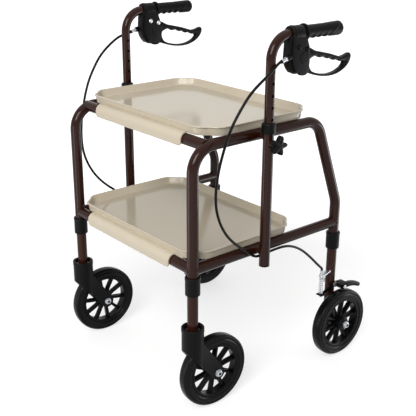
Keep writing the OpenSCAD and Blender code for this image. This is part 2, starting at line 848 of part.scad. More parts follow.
// Coil of the return spring, with short upright ends
spring_points = let (
    rise = spring_high - spring_low - 2 * slide_gap - 2 * spring_wire,
    count = coil_steps * spring_turns
) concat(
    [[spring_d / 2, 0, 0]],
    [for (k = [0 : count])
        let (a = 360 * k / coil_steps)
        [spring_d / 2 * cos(a), spring_d / 2 * sin(a), spring_wire + rise * k / count]],
    [[spring_d / 2, 0, rise + 2 * spring_wire]]
);
spring_sides = [for (p = spring_points) unit([p[0], p[1], 0])];
spring_clear = min([
    for (i = [0 : len(spring_points) - coil_steps]) for (j = [i + coil_steps - 2 : len(spring_points) - 1])
        norm(spring_points[i] - spring_points[j])
]) - spring_wire;
echo("least gap between the spring's turns", spring_clear);

module return_spring(side) {
    color("#b8b8b8") on_side(side) translate([line_x, line_y, spring_low + slide_gap])
        sweep_tube(spring_points, spring_sides, spring_wire, wire_facets);
}

module inner_wire(side) {
    low_z = tab_z - tab_t / 2 - slide_gap - nipple_len;
    color("#b8b8b8") on_side(side) translate([line_x, line_y, low_z]) {
        cylinder(d = wire_d, h = bracket_z - low_z);
        cylinder(d = nipple_d, h = nipple_len);
    }
}

// Brake arm: front tab under the cable, pivot on the leg, shoe over the tyre
module brake_arm(side) {
    pivot = [0, 0];
    tab = [-adjuster_ahead, -tab_drop];
    wheel = [0, wheel_r - brake_pivot_z];
    shoe_r = wheel_r + shoe_gap;
    web_at = (shoe_from + shoe_to) / 2;
    shoe_mid = wheel + (shoe_r + shoe_t / 2) * [cos(web_at), sin(web_at)];
    color("#1c1c1c") on_side(side) difference() {
        upright(arm_x, rear_y, brake_pivot_z) {
            linear_extrude(arm_t) {
                link(pivot, arm_h / 2, tab + [tab_len / 2, 0], tab_t);
                rotate(brake_turn) link(pivot, arm_h / 2, shoe_mid, shoe_t / 2);
            }
            translate([tab[0] - tab_len / 2, tab[1] - tab_t / 2, arm_t / 2 - tab_w / 2])
                cube([tab_len, tab_t, tab_w]);
            linear_extrude(rear_wheel_x - arm_x + shoe_w / 2) rotate(brake_turn) translate(wheel) difference() {
                intersection() {
                    circle(r = shoe_r + shoe_t);
                    polygon([
                        [0, 0],
                        2 * wheel_r * [cos(shoe_from), sin(shoe_from)],
                        2 * wheel_r * [cos(shoe_to), sin(shoe_to)]
                    ]);
                }
                circle(r = shoe_r);
            }
        }
        across(arm_x - over, rear_y, brake_pivot_z, brake_pin_d + 2 * run_gap, arm_t + 2 * over);
        translate([line_x - wire_slot / 2, line_y - wire_slot / 2, tab_z - tab_t])
            cube([wire_slot, wire_slot, 2 * tab_t]);
    }
}

module brake_cable(side) {
    along = [0, cos(ferrule_tilt), sin(ferrule_tilt)];
    seat = [post_x + ferrule_side, post_y + ferrule_y, grip_z - ferrule_drop];
    start = seat - (ferrule_len + cable_gap) * along;
    ending = [line_x, line_y, bracket_z + bracket_t / 2 + adjuster_up + cable_gap];
    stretch = (grip_z - cable_low_z) / (cable_grip_z - cable_low_z);
    route = concat(
        [start, start - cable_lead * along],
        [for (p = cable_route)
            let (up = p[2] - cable_low_z)
            [leg_x + p[0], front_y + p[1], cable_low_z + (up > 0 ? up * stretch : up)]],
        [ending + [0, 0, cable_d], ending]
    );
    points = open_curve(route, cable_rings);
    color("#1a1a1a") on_side(side) sweep_tube(points, [for (p = points) [1, 0, 0]], cable_d, cable_sides);
}

module handle_bar(d, ends) {
    upright(post_x, post_y, 0) {
        run([0, handle_bottom_z], 90, grip_z - handle_bend_r - handle_bottom_z, d, ends, seam);
        bend([handle_bend_r, grip_z - handle_bend_r], handle_bend_r, 90, 90, d);
        run([handle_bend_r, grip_z], 0, handle_reach - handle_bend_r, d, seam, ends);
    }
}

// Handle tube with its row of height holes
module handle_tube(side) {
    color("#3a2420") on_side(side) difference() {
        handle_bar(handle_d, 0);
        handle_bar(handle_d - 2 * handle_wall, over);
        for (k = [-holes_below : holes_above])
            across(post_x - handle_d, post_y, knob_z + k * hole_pitch, hole_d, 2 * handle_d);
    }
}

module grip(side) {
    color("#1c1c1c") on_side(side) translate([post_x, post_y + grip_start, grip_z]) difference() {
        rotate([-90, 0, 0]) {
            cylinder(d = flange_d, h = flange_t);
            cylinder(d = grip_d, h = grip_len);
        }
        rotate([-90, 0, 0]) translate([0, 0, -over])
            cylinder(d = handle_d + 2 * weld_gap, h = handle_reach - grip_start + weld_gap + over);
        for (k = [0 : finger_count - 1])
            across(-grip_d, grip_len * (finger_first_share + k * finger_step_share),
                -grip_d / 2 - finger_r + finger_depth, 2 * finger_r, 2 * grip_d);
    }
}

// Moulded housing: strap round the tube, two cheeks with the lever between them
module brake_housing(side) {
    pivot_y = post_y + lever_pivot_y;
    pivot_z = grip_z - lever_pivot_drop;
    slot = lever_boss_r + slot_gap;
    color("#1c1c1c") on_side(side) difference() {
        union() {
            translate([post_x, post_y + strap_front, grip_z]) rotate([-90, 0, 0])
                cylinder(d = strap_d, h = strap_len);
            upright(post_x, post_y + housing_front, grip_z) plate(housing_w)
                polygon(closed_curve(scaled(housing_shares, housing_len, housing_h), curve_steps));
        }
        translate([post_x, post_y, grip_z]) rotate([-90, 0, 0])
            cylinder(d = handle_d + 2 * weld_gap, h = handle_reach);
        translate([post_x - lever_t / 2 - slot_gap, pivot_y - slot, pivot_z - lever_h - slot])
            cube([lever_t + 2 * slot_gap, lever_len, lever_h + 2 * slot]);
        across(post_x - housing_w, pivot_y, pivot_z, lever_pin_d + 2 * weld_gap, 2 * housing_w);
        across(post_x - housing_w, post_y + clamp_bolt_back, grip_z - clamp_bolt_drop,
            clamp_bolt_d + 2 * weld_gap, 2 * housing_w);
        translate([post_x, post_y + grip_start - slide_gap, grip_z]) rotate([-90, 0, 0])
            cylinder(d = flange_d + 2 * slide_gap, h = grip_len);
        ferrule_place() cylinder(d = ferrule_d + 2 * weld_gap, h = ferrule_seat + weld_gap);
    }
}

// The ferrule points forward and a little down; its foot sits in the housing
module ferrule_place() {
    translate([post_x + ferrule_side, post_y + ferrule_y, grip_z - ferrule_drop])
        rotate([-90 + ferrule_tilt, 0, 0]) children();
}

module cable_ferrule(side) {
    color("#c8c8c8") on_side(side) ferrule_place() translate([0, 0, -ferrule_len])
        cylinder(d = ferrule_d, h = ferrule_len + ferrule_seat);
}

module housing_bolts(side) {
    half = housing_w / 2;
    color("#c8c8c8") on_side(side) {
        across(post_x - half, post_y + lever_pivot_y, grip_z - lever_pivot_drop, lever_pin_d, housing_w);
        across(post_x - half, post_y + clamp_bolt_back, grip_z - clamp_bolt_drop, clamp_bolt_d, housing_w);
        for (x = [post_x - half - bolt_head_t, post_x + half]) {
            across(x, post_y + clamp_bolt_back, grip_z - clamp_bolt_drop, bolt_head_d, bolt_head_t);
            across(x, post_y + lever_pivot_y, grip_z - lever_pivot_drop, bolt_head_d, bolt_head_t);
        }
    }
}

module brake_lever(side) {
    outer = closed_curve(scaled(lever_outer_shares, lever_len, lever_h), curve_steps);
    hole = closed_curve(scaled(lever_hole_shares, lever_len, lever_h), curve_steps);
    color("#1c1c1c") on_side(side)
        upright(post_x, post_y + lever_pivot_y, grip_z - lever_pivot_drop) difference() {
            union() {
                plate(lever_t) polygon(outer);
                plate(lever_t) circle(r = lever_boss_r);
            }
            plate(2 * lever_t) polygon(hole);
            plate(2 * lever_t) circle(d = lever_pin_d + 2 * run_gap);
        }
}

// Plate of a tray with cut and rounded corners, inset from its outer rim
module tray_slab(inset, z, t) {
    r = tray_corner_r - inset;
    near = tray_corner_r;
    far = tray_cut + arc_share * tray_corner_r;
    translate([0, 0, z]) hull()
        for (sx = [-1, 1]) for (p = [[near, far], [far, near]]) for (y = [p[1], tray_d - p[1]])
            translate([sx * (tray_w / 2 - p[0]), y, 0]) cylinder(r = r, h = t, $fn = tray_facets);
}

module tray_body(top_inset, low_inset, low_z) {
    thin = tray_flange_t / 2;
    hull() {
        tray_slab(top_inset, tray_h - thin, thin);
        tray_slab(low_inset, low_z, thin);
    }
}

module lip_outline() {
    difference() {
        intersection() {
            circle(r = lip_r);
            translate([-lip_r, 0]) square(lip_r);
        }
        circle(r = lip_r - lip_wall);
    }
    translate([-lip_r, -lip_drop]) square([lip_wall, lip_drop]);
    translate([0, lip_r - lip_wall]) square([tray_flange + tray_draft + tray_wall - tray_ahead, lip_wall]);
}

// Tray with its floor resting on the crossbars at the given height
module tray(bar_y, bar_z) {
    inner = tray_flange + tray_wall;
    color("#cdc3b0") translate([0, bar_y - tray_ahead, bar_z + rail_seat]) {
        difference() {
            union() {
                tray_body(tray_flange, tray_flange + tray_draft, 0);
                tray_slab(0, tray_h - tray_flange_t, tray_flange_t);
            }
            translate([0, 0, over]) tray_body(inner, inner + tray_draft, tray_wall - over);
        }
        upright(-lip_w / 2, tray_ahead, -rail_seat) linear_extrude(lip_w) lip_outline();
    }
}

module tray_upper() { tray(upper_bar_y, top_rail_z); }
module tray_lower() { tray(front_y, lower_rail_z); }

side_frame(1);  // side_frame_l
side_frame(-1);  // side_frame_r
lower_rail(1);  // lower_rail_l
lower_rail(-1);  // lower_rail_r
upper_front_bar();
upper_rear_bar();
lower_front_bar();
lower_rear_bar();
handle_post(1);  // handle_post_l
handle_post(-1);  // handle_post_r
post_bushes();
post_end_plugs();
knob_bosses();
leg_collars();
front_leg(1);  // front_leg_l
front_leg(-1);  // front_leg_r
rear_leg(1);  // rear_leg_l
rear_leg(-1);  // rear_leg_r
caster_stems();
caster_fork(1);  // caster_fork_l
caster_fork(-1);  // caster_fork_r
caster_axle(1);  // caster_axle_l
caster_axle(-1);  // caster_axle_r
front_rim(1);  // front_rim_l
front_rim(-1);  // front_rim_r
front_tyre(1);  // front_tyre_l
front_tyre(-1);  // front_tyre_r
rear_axles();
rear_rim(1);  // rear_rim_l
rear_rim(-1);  // rear_rim_r
rear_tyre(1);  // rear_tyre_l
rear_tyre(-1);  // rear_tyre_r
cable_brackets();
cable_adjusters();
brake_pivots();
return_spring(1);  // return_spring_l
return_spring(-1);  // return_spring_r
inner_wire(1);  // inner_wire_l
inner_wire(-1);  // inner_wire_r
brake_arm(1);  // brake_arm_l
brake_arm(-1);  // brake_arm_r
brake_cable(1);  // brake_cable_l
brake_cable(-1);  // brake_cable_r
star_knob(1);  // star_knob_l
star_knob(-1);  // star_knob_r
handle_tube(1);  // handle_tube_l
handle_tube(-1);  // handle_tube_r
grip(1);  // grip_l
grip(-1);  // grip_r
brake_housing(1);  // brake_housing_l
brake_housing(-1);  // brake_housing_r
housing_bolts(1);  // housing_bolts_l
housing_bolts(-1);  // housing_bolts_r
cable_ferrule(1);  // cable_ferrule_l
cable_ferrule(-1);  // cable_ferrule_r
brake_lever(1);  // brake_lever_l
brake_lever(-1);  // brake_lever_r
tray_upper();
tray_lower();
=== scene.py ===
import json
import math

import bmesh
import bpy
import numpy as np
from mathutils import Matrix, Vector

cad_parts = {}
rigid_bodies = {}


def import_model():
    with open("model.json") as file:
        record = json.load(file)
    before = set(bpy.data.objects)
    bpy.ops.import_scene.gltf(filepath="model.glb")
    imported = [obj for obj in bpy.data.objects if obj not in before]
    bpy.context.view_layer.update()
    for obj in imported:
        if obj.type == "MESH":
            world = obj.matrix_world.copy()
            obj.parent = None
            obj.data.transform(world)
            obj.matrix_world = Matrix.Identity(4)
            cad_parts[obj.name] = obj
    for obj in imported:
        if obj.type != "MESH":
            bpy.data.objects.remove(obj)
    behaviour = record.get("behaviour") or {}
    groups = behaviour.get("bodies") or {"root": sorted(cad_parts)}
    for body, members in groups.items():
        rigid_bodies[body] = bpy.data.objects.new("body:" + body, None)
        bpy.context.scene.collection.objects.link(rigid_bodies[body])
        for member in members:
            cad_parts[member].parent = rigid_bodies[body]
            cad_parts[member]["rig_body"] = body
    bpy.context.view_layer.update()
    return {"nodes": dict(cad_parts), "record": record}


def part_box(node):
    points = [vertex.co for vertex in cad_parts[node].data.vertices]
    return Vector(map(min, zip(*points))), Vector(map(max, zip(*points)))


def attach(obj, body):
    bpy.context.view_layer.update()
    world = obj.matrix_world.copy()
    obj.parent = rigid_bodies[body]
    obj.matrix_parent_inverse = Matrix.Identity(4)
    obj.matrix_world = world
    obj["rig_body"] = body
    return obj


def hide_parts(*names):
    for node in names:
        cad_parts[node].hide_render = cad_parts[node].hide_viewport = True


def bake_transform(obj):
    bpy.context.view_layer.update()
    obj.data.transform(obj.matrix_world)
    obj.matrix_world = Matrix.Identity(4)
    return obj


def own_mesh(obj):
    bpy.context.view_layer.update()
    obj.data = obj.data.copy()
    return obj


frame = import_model()
nodes = frame["nodes"]
scene = bpy.context.scene
mm = 0.001
sides = {"l": 1, "r": -1}
print("frame loaded:", len(nodes), "nodes")

# Camera: turned round the walker's middle, looking down at it
shot = dict(azimuth=49.88, elevation=20.7, distance=1.966, target=(0.0034, -0.0219, 0.3719), lens=68.16,
            sensor=36, farEnd=60, roll=0.32)


def aimCamera():
    # Stands on a sphere round the target, looks at the sphere's centre and rolls about that line
    azimuth, elevation = math.radians(shot["azimuth"]), math.radians(shot["elevation"])
    flat = math.cos(elevation)
    away = Vector((math.sin(azimuth) * flat, -math.cos(azimuth) * flat, math.sin(elevation)))
    data = bpy.data.cameras.new("camera")
    data.lens = shot["lens"]
    data.sensor_width = shot["sensor"]
    data.clip_end = shot["farEnd"]
    camera = bpy.data.objects.new("camera", data)
    camera.location = Vector(shot["target"]) + away * shot["distance"]
    roll = Matrix.Rotation(math.radians(shot["roll"]), 3, "Z")
    camera.rotation_euler = (away.to_track_quat("Z", "Y").to_matrix() @ roll).to_euler()
    scene.collection.objects.link(camera)
    bpy.context.scene.camera = camera


aimCamera()
scene.view_settings.view_transform = "Standard"
print("camera placed")

# Surfaces. A part is its points, in millimetres, and its faces.
meshing = dict(merge=1e-6, sharp=38, edgeSteps=5, crownShares=(0.85, 0.65, 0.4, 0.15))


def unit(v):
    # Each vector over its own length
    return v / np.linalg.norm(v, axis=-1, keepdims=True)


def around(count):
    # Angles of points spread evenly round a circle
    return np.linspace(0, 2 * np.pi, count, endpoint=False)


def net(points, closeRows=False):
    # Net of points: quads join neighbours along rows and round each row, one face closes each open end
    rows, cols = points.shape[:2]
    i, j = np.meshgrid(np.arange(rows - (not closeRows)), np.arange(cols), indexing="ij")
    up, right = (i + 1) % rows, (j + 1) % cols
    corners = [i * cols + j, i * cols + right, up * cols + right, up * cols + j]
    faces = np.stack(corners, -1).reshape(-1, 4).tolist()
    if not closeRows:
        faces += [list(range(cols))[::-1], list(range((rows - 1) * cols, rows * cols))]
    return points.reshape(-1, 3), faces


def joined(*parts):
    # Parts one after the other: a face's numbers grow by the count of points before it
    starts = np.cumsum([0] + [len(points) for points, faces in parts])
    faces = [[k + start for k in face] for start, (points, fs) in zip(starts, parts) for face in fs]
    return np.concatenate([points for points, fs in parts]), faces


def moved(part, offset):
    # Points plus the offset
    return part[0] + np.array(offset, float), part[1]


def mirrored(part, side):
    # x times the side: 1 keeps the part, -1 mirrors it
    return part[0] * [side, 1, 1], part[1]


def turned(part, degrees, axis="Z"):
    # Points turned about an axis through the origin
    spin = np.array(Matrix.Rotation(math.radians(degrees), 3, axis))
    return part[0] @ spin.T, part[1]


def upright(part, x=0, y=0, z=0):
    # Sketch to walker: sketch x runs back, sketch y runs up, thickness runs along +X
    return part[0][:, [2, 0, 1]] + np.array([x, y, z], float), part[1]


def inwardOf(outline):
    # Left-hand normal of the chord between each point's neighbours, for an outline drawn anticlockwise
    ahead = unit(np.roll(outline, -1, 0) - np.roll(outline, 1, 0))
    return np.stack([-ahead[:, 1], ahead[:, 0]], -1)


def filleted(points, radii, steps):
    # Open line whose corners become arcs: an arc turns from one leg's direction to the other's at a steady rate
    p = np.array(points, float)
    radii = np.broadcast_to(radii, len(p) - 2)
    out = [p[:1]]
    t = np.linspace(0, 1, steps + 1)[:, None]
    for a, b, c, r in zip(p[:-2], p[1:-1], p[2:], radii):
        u, v = unit(a - b), unit(c - b)
        half = math.acos(np.clip(u @ v, -1, 1)) / 2
        sweep = math.pi - 2 * half
        if r == 0 or sweep < 0.01:
            out.append(b[None])
            continue
        centre = b + unit(u + v) * r / math.sin(half)
        start = b + u * r / math.tan(half) - centre
        end = b + v * r / math.tan(half) - centre
        out.append(centre + (np.sin((1 - t) * sweep) * start + np.sin(t * sweep) * end) / math.sin(sweep))
    return np.concatenate(out + [p[-1:]])


def rounded(form, name, steps):
    # A line of a settings dictionary, filleted with its rounds
    return filleted(form[name], form[name + "Rounds"], steps)


def curve(points, steps, closed=False):
    # Smooth line through points: each stretch is a cubic whose slopes follow the neighbouring points
    p = np.array(points, float)
    if closed:
        a, b, c, d = np.roll(p, 1, 0), p, np.roll(p, -1, 0), np.roll(p, -2, 0)
    else:
        q = np.concatenate([p[:1], p, p[-1:]])
        a, b, c, d = q[:-3], q[1:-2], q[2:-1], q[3:]
    t = np.linspace(0, 1, steps, endpoint=False)[None, :, None]
    a, b, c, d = (v[:, None] for v in (a, b, c, d))
    line = (2 * b + (c - a) * t + (2 * a - 5 * b + 4 * c - d) * t**2 + (3 * b - a - 3 * c + d) * t**3) / 2
    line = line.reshape(-1, p.shape[1])
    return line if closed else np.concatenate([line, p[-1:]])


def tube(path, radius, across, count, closed=False):
    # Tube: a circle square to the path at each of its points, started from the direction across
    path = np.asarray(path, float)
    ahead = np.roll(path, -1, 0) - np.roll(path, 1, 0) if closed else np.gradient(path, axis=0)
    ahead = unit(ahead)
    first = np.broadcast_to(np.asarray(across, float), path.shape)
    first = unit(first - (first * ahead).sum(-1, keepdims=True) * ahead)
    second = np.cross(ahead, first)
    a = around(count)[:, None]
    r = np.broadcast_to(np.asarray(radius, float), len(path))[:, None, None]
    ring = np.cos(a) * first[:, None] + np.sin(a) * second[:, None]
    return net(path[:, None] + r * ring, closeRows=closed)


def lathe(profile, axis, centre=(0, 0, 0), count=48, closed=False):
    # Turned shape: profile points are a radius and a distance along the axis, carried round it
    profile = np.asarray(profile, float)
    axis = unit(np.array(axis, float))
    first = unit(np.cross(axis, [1, 0, 0] if abs(axis[2]) > 0.9 else [0, 0, 1]))
    second = np.cross(axis, first)
    a = around(count)[:, None]
    ring = np.cos(a) * first + np.sin(a) * second
    points = profile[:, 0, None, None] * ring + profile[:, 1, None, None] * axis
    return net(np.array(centre, float) + points, closeRows=closed)


def plate(outline, low, high, edge, crown=0):
    # Moulded plate: an outline carried from low to high, drawn in along its normals by a quarter circle at both
    # edges; with a crown, its upper face rises towards the middle as one less the square of the distance
    a = np.linspace(0, np.pi / 2, meshing["edgeSteps"])
    inset = edge * (1 - np.sin(np.concatenate([a, a[::-1]])))
    rise = edge * (1 - np.cos(a))
    height = np.concatenate([low + rise, high - rise[::-1]])
    flat = outline + inset[:, None, None] * inwardOf(outline)
    rings = np.concatenate([flat, np.broadcast_to(height[:, None, None], flat.shape[:2] + (1,))], -1)
    if crown:
        middle = flat[-1].mean(0)
        share = np.array(meshing["crownShares"])[:, None, None]
        inner = middle + (flat[-1] - middle) * share
        top = np.broadcast_to(high + crown * (1 - share**2), inner.shape[:2] + (1,))
        rings = np.concatenate([rings, np.concatenate([inner, top], -1)])
    return net(rings)


# Materials
def linear(hexColour):
    # sRGB hex to linear light
    c = np.array([int(hexColour[i:i + 2], 16) for i in (1, 3, 5)]) / 255
    return tuple(np.where(c <= 0.04045, c / 12.92, ((c + 0.055) / 1.055) ** 2.4)) + (1.0,)


def addNode(tree, kind, settings=None, inputs=None):
    # A node with its settings; an input that is a socket becomes a link, any other a value
    node = tree.nodes.new(kind)
    for key, value in (settings or {}).items():
        setattr(node, key, value)
    for key, value in (inputs or {}).items():
        if isinstance(value, bpy.types.NodeSocket):
            tree.links.new(value, node.inputs[key])
        else:
            node.inputs[key].default_value = value
    return node


# Noise in every finish: octaves and their share, and the stretch of the broad pattern that varies the gloss
noise = dict(broadDetail=3.0, broadShare=0.6, fineDetail=2.0, fineShare=0.5, glossFrom=0.3, glossTo=0.7)


def surface(name, **look):
    # Principled surface: two close tones mixed by a broad pattern, gloss varied by the same, fine grain as bump.
    # Pattern sizes are in millimetres.
    material = bpy.data.materials.new(name)
    material.use_nodes = True
    tree = material.node_tree
    shader = tree.nodes["Principled BSDF"]
    place = addNode(tree, "ShaderNodeTexCoord").outputs["Object"]
    broad = addNode(tree, "ShaderNodeTexNoise", {}, {
        "Vector": place, "Scale": 1000 / look["patch"],
        "Detail": noise["broadDetail"], "Roughness": noise["broadShare"]}).outputs["Fac"]
    fine = addNode(tree, "ShaderNodeTexNoise", {}, {
        "Vector": place, "Scale": 1000 / look["grain"],
        "Detail": noise["fineDetail"], "Roughness": noise["fineShare"]}).outputs["Fac"]
    tones = addNode(tree, "ShaderNodeMix", {"data_type": "RGBA"}, {
        0: broad, "A": linear(look["tone"]), "B": linear(look["otherTone"])})
    tree.links.new(tones.outputs["Result"], shader.inputs["Base Color"])
    gloss = addNode(tree, "ShaderNodeMapRange", {}, {
        "Value": broad, "From Min": noise["glossFrom"], "From Max": noise["glossTo"],
        "To Min": look["gloss"][0], "To Max": look["gloss"][1]})
    tree.links.new(gloss.outputs["Result"], shader.inputs["Roughness"])
    bump = addNode(tree, "ShaderNodeBump", {}, {
        "Height": fine, "Strength": look["bump"], "Distance": look["depth"] * mm})
    tree.links.new(bump.outputs["Normal"], shader.inputs["Normal"])
    shader.inputs["Specular IOR Level"].default_value = look["specular"]
    shader.inputs["Metallic"].default_value = look.get("metallic", 0)
    shader.inputs["IOR"].default_value = look.get("ior", shader.inputs["IOR"].default_value)
    return material


# Chocolate powder coat on steel tube: baked on, glossy, with a slight orange peel
chocolateCoat = surface(
    "chocolate_powder_coat", tone="#2b120a", otherTone="#281009", patch=60, grain=2.6,
    gloss=(0.1, 0.14), bump=0.01, depth=0.05, specular=0.16)
# The plugged-in legs have the same coat, a shade redder
legCoat = surface(
    "leg_powder_coat", tone="#32170e", otherTone="#2e150c", patch=60, grain=2.6,
    gloss=(0.14, 0.18), bump=0.01, depth=0.05, specular=0.16)
# Injection-moulded ABS of the trays: smooth, semi-gloss, very even in colour
trayAbs = surface(
    "moulded_abs_sand", tone="#c2b7a3", otherTone="#beb39f", patch=90, grain=1.6,
    gloss=(0.11, 0.14), bump=0.005, depth=0.02, specular=0.22, ior=1.52)
# Glass-filled nylon mouldings: black, satin, with spark-eroded grain, drawn coarse enough to show
blackNylon = surface(
    "glass_filled_nylon", tone="#0e0e0f", otherTone="#0b0b0c", patch=18, grain=0.9,
    gloss=(0.34, 0.44), bump=0.15, depth=0.08, specular=0.08)
# Wheel centres: the same nylon from a polished mould, smoother and shinier
wheelNylon = surface(
    "polished_black_nylon", tone="#090909", otherTone="#070707", patch=25, grain=1.2,
    gloss=(0.26, 0.34), bump=0.08, depth=0.08, specular=0.08)
# Cast polyurethane tyre: plain black with a soft shine
tyreRubber = surface(
    "polyurethane_tyre", tone="#0b0b0b", otherTone="#090909", patch=22, grain=1.1,
    gloss=(0.22, 0.3), bump=0.03, depth=0.05, specular=0.1)
# Soft vinyl grip: matt, pebbled
gripVinyl = surface(
    "soft_vinyl_grip", tone="#0b0b0b", otherTone="#090909", patch=15, grain=1.3,
    gloss=(0.42, 0.52), bump=0.25, depth=0.12, specular=0.08)
# Cable jacket: extruded PVC, smooth
cablePvc = surface(
    "extruded_pvc", tone="#080808", otherTone="#070707", patch=12, grain=1.5,
    gloss=(0.28, 0.36), bump=0.08, depth=0.1, specular=0.1)
# Black stove enamel of the brake arms: smooth, with a soft shine
armEnamel = surface(
    "black_stove_enamel", tone="#060606", otherTone="#050505", patch=14, grain=1.4,
    gloss=(0.25, 0.35), bump=0.1, depth=0.1, specular=0.08)
# Zinc-plated steel: bright, faintly clouded
zincPlate = surface(
    "zinc_plated_steel", tone="#c3c6c9", otherTone="#aaadb1", patch=6, grain=0.8,
    gloss=(0.32, 0.42), bump=0.05, depth=0.05, specular=0.5, metallic=1.0)

# Material of each slot of the record
finishes = {
    "frame_paint": chocolateCoat, "leg_paint": legCoat, "black_plastic": blackNylon, "rim_plastic": wheelNylon,
    "tyre_rubber": tyreRubber, "grip_rubber": gripVinyl, "cable_sheath": cablePvc, "arm_paint": armEnamel,
    "tray_plastic": trayAbs, "bright_steel": zincPlate}
print("materials made")


def addPiece(name, part, body, slotName, replaced=(), material=None):
    # Mesh of a part in metres: doubles merged, faces turned outwards, shaded smooth up to the sharp angle
    mesh = bpy.data.meshes.new(name)
    mesh.from_pydata((part[0] * mm).tolist(), [], part[1])
    work = bmesh.new()
    work.from_mesh(mesh)
    bmesh.ops.remove_doubles(work, verts=work.verts, dist=meshing["merge"])
    bmesh.ops.recalc_face_normals(work, faces=work.faces)
    work.to_mesh(mesh)
    work.free()
    mesh.shade_smooth()
    mesh.set_sharp_from_angle(angle=math.radians(meshing["sharp"]))
    mesh.materials.append(material or finishes[slotName])
    piece = bpy.data.objects.new(name, mesh)
    scene.collection.objects.link(piece)
    if body:
        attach(piece, body)
    if replaced:
        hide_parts(*replaced)
    return piece


# Tubes of the frame: legs, bends and top rail as one line
tubes = dict(x=227, frontY=-252, rearY=196, railZ=619, r=12.7, frontFoot=314.5, rearFoot=302.5, frontBend=55,
             rearBend=50, kinkBend=60, kinkZ=395, slant=20.9, bendSteps=16, count=40)


def sideTube(side):
    # A circle carried along five corners joined by arcs; above its kink the rear leg leans by the slant
    t = tubes
    slant = math.radians(t["slant"])
    kinkZ = t["kinkZ"] + t["kinkBend"] * math.tan(slant / 2)
    topY = t["rearY"] - (t["railZ"] - kinkZ) * math.tan(slant)
    corners = [(t["frontY"], t["frontFoot"]), (t["frontY"], t["railZ"]), (topY, t["railZ"]),
               (t["rearY"], kinkZ), (t["rearY"], t["rearFoot"])]
    line = filleted(corners, [t["frontBend"], t["rearBend"], t["kinkBend"]], t["bendSteps"])
    path = np.column_stack([np.full(len(line), side * t["x"]), line])
    return tube(path, t["r"], (1, 0, 0), t["count"])


for key, side in sides.items():
    addPiece("side_tube_" + key, sideTube(side), "frame", "frame_paint", ["side_frame_" + key])

# Weld beads: a thin roll along the line where a tube meets the round of another
welds = dict(bead=1.7, points=48, count=8, leastReach=0.3, lean=0.01)
# Where bars and posts join the side frames
joints = dict(upperBarY=-216, barPitch=262, lowerZ=351, postX=260.7, postY=-73, postR=12, stubR=6.5)


def weldBead(centre, axis, r, mainAxis, mainR):
    # Saddle line: a circle of the joining tube pushed along its axis until it lies on the main tube
    axis, mainAxis = np.array(axis, float), np.array(mainAxis, float)
    third = np.cross(axis, mainAxis)
    a = around(welds["points"])[:, None]
    reach = np.sqrt(np.maximum(mainR**2 - (r * np.cos(a)) ** 2, welds["leastReach"]))
    path = np.array(centre, float) + r * np.cos(a) * third + r * np.sin(a) * mainAxis + reach * axis
    return tube(path, welds["bead"], third + welds["lean"] * axis, welds["count"], closed=True)


def allWelds():
    # A saddle line for each joint of a side: crossbars on leg and rails, lower rail on both legs, stubs on the post
    t, j = tubes, joints
    up, backwards, forwards = (0, 0, 1), (0, 1, 0), (0, -1, 0)
    beads = []
    for side in sides.values():
        inwards = (-side, 0, 0)
        places = [(t["frontY"], j["lowerZ"], inwards, up),
                  (t["frontY"] + j["barPitch"], j["lowerZ"], inwards, backwards),
                  (j["upperBarY"] + j["barPitch"], t["railZ"], inwards, backwards),
                  (t["frontY"], j["lowerZ"], backwards, up),
                  (t["rearY"], j["lowerZ"], forwards, up)]
        beads += [weldBead((side * t["x"], y, z), axis, t["r"], main, t["r"]) for y, z, axis, main in places]
        beads += [weldBead((side * j["postX"], j["postY"], z), inwards, j["stubR"], up, j["postR"])
                  for z in (j["lowerZ"], t["railZ"])]
    return joined(*beads)


addPiece("weld_beads", allWelds(), "frame", "frame_paint")
print("frame tubes drawn")

# Trays: rings round the floor, each a rectangle with hollow cut corners, follow the wall's profile.
# The wall runs from the underside to the floor: inset from the rim's outline, height.
trayForm = dict(
    width=464, depth=320, cut=38, hollow=3, corner=32, lift=13.0, ahead=2.0,
    wall=[(22, 0), (5.2, 0), (2.8, 17.2), (0, 17.2), (0, 20), (4.6, 20), (10.5, 3), (22, 3)],
    wallRounds=[1.6, 1.2, 0.8, 1.4, 1.8, 6.0],
    lipHalf=162, lipOuter=16.7, lipWall=3.0, lipDrop=13.0, lipCorner=8.0, lipBack=12, lipEdge=2, lipRound=1.3)


def trayOutline():
    # Rectangle whose corners are cut in a shallow hollow; every angle becomes an arc
    w, d, cut = trayForm["width"] / 2, trayForm["depth"], trayForm["cut"]
    inset = cut / 2 + trayForm["hollow"] / math.sqrt(2)
    corners = []
    for sx, sy, first in ((1, 1, True), (-1, 1, False), (-1, 0, True), (1, 0, False)):
        x, y, back = sx * w, sy * d, 1 - 2 * sy
        row = [(x, y + back * cut), (x - sx * inset, y + back * inset), (x - sx * cut, y)]
        corners += row if first else row[::-1]
    start = ((corners[0][0] + corners[-1][0]) / 2, d / 2)
    return filleted([start] + corners + [start], trayForm["corner"], 8)[:-1]


def trayShell():
    # The outline drawn in along its normals by the profile's inset, raised by the profile's height
    profile = rounded(trayForm, "wall", 6)
    outline = trayOutline()
    flat = outline + profile[:, 0, None, None] * inwardOf(outline)
    height = np.broadcast_to(profile[:, 1, None, None], flat.shape[:2] + (1,))
    return net(np.concatenate([flat, height], -1))


def lipOutline(drop):
    # Lip's section: forward over the bar, down by the drop, round the edge and back one wall further in
    r, back, tip = trayForm["lipOuter"], trayForm["lipBack"], trayForm["lipEdge"] - drop
    inner = r - trayForm["lipWall"]
    outside = filleted([(back, r), (-r, r), (-r, -drop)], r, 12)
    edge = filleted([(-r, tip), (-r, -drop), (-inner, -drop), (-inner, tip)], trayForm["lipRound"], 4)
    inside = filleted([(-inner, -drop), (-inner, inner), (back, inner)], inner, 12)
    return np.concatenate([outside[:-1], edge, inside[1:]])


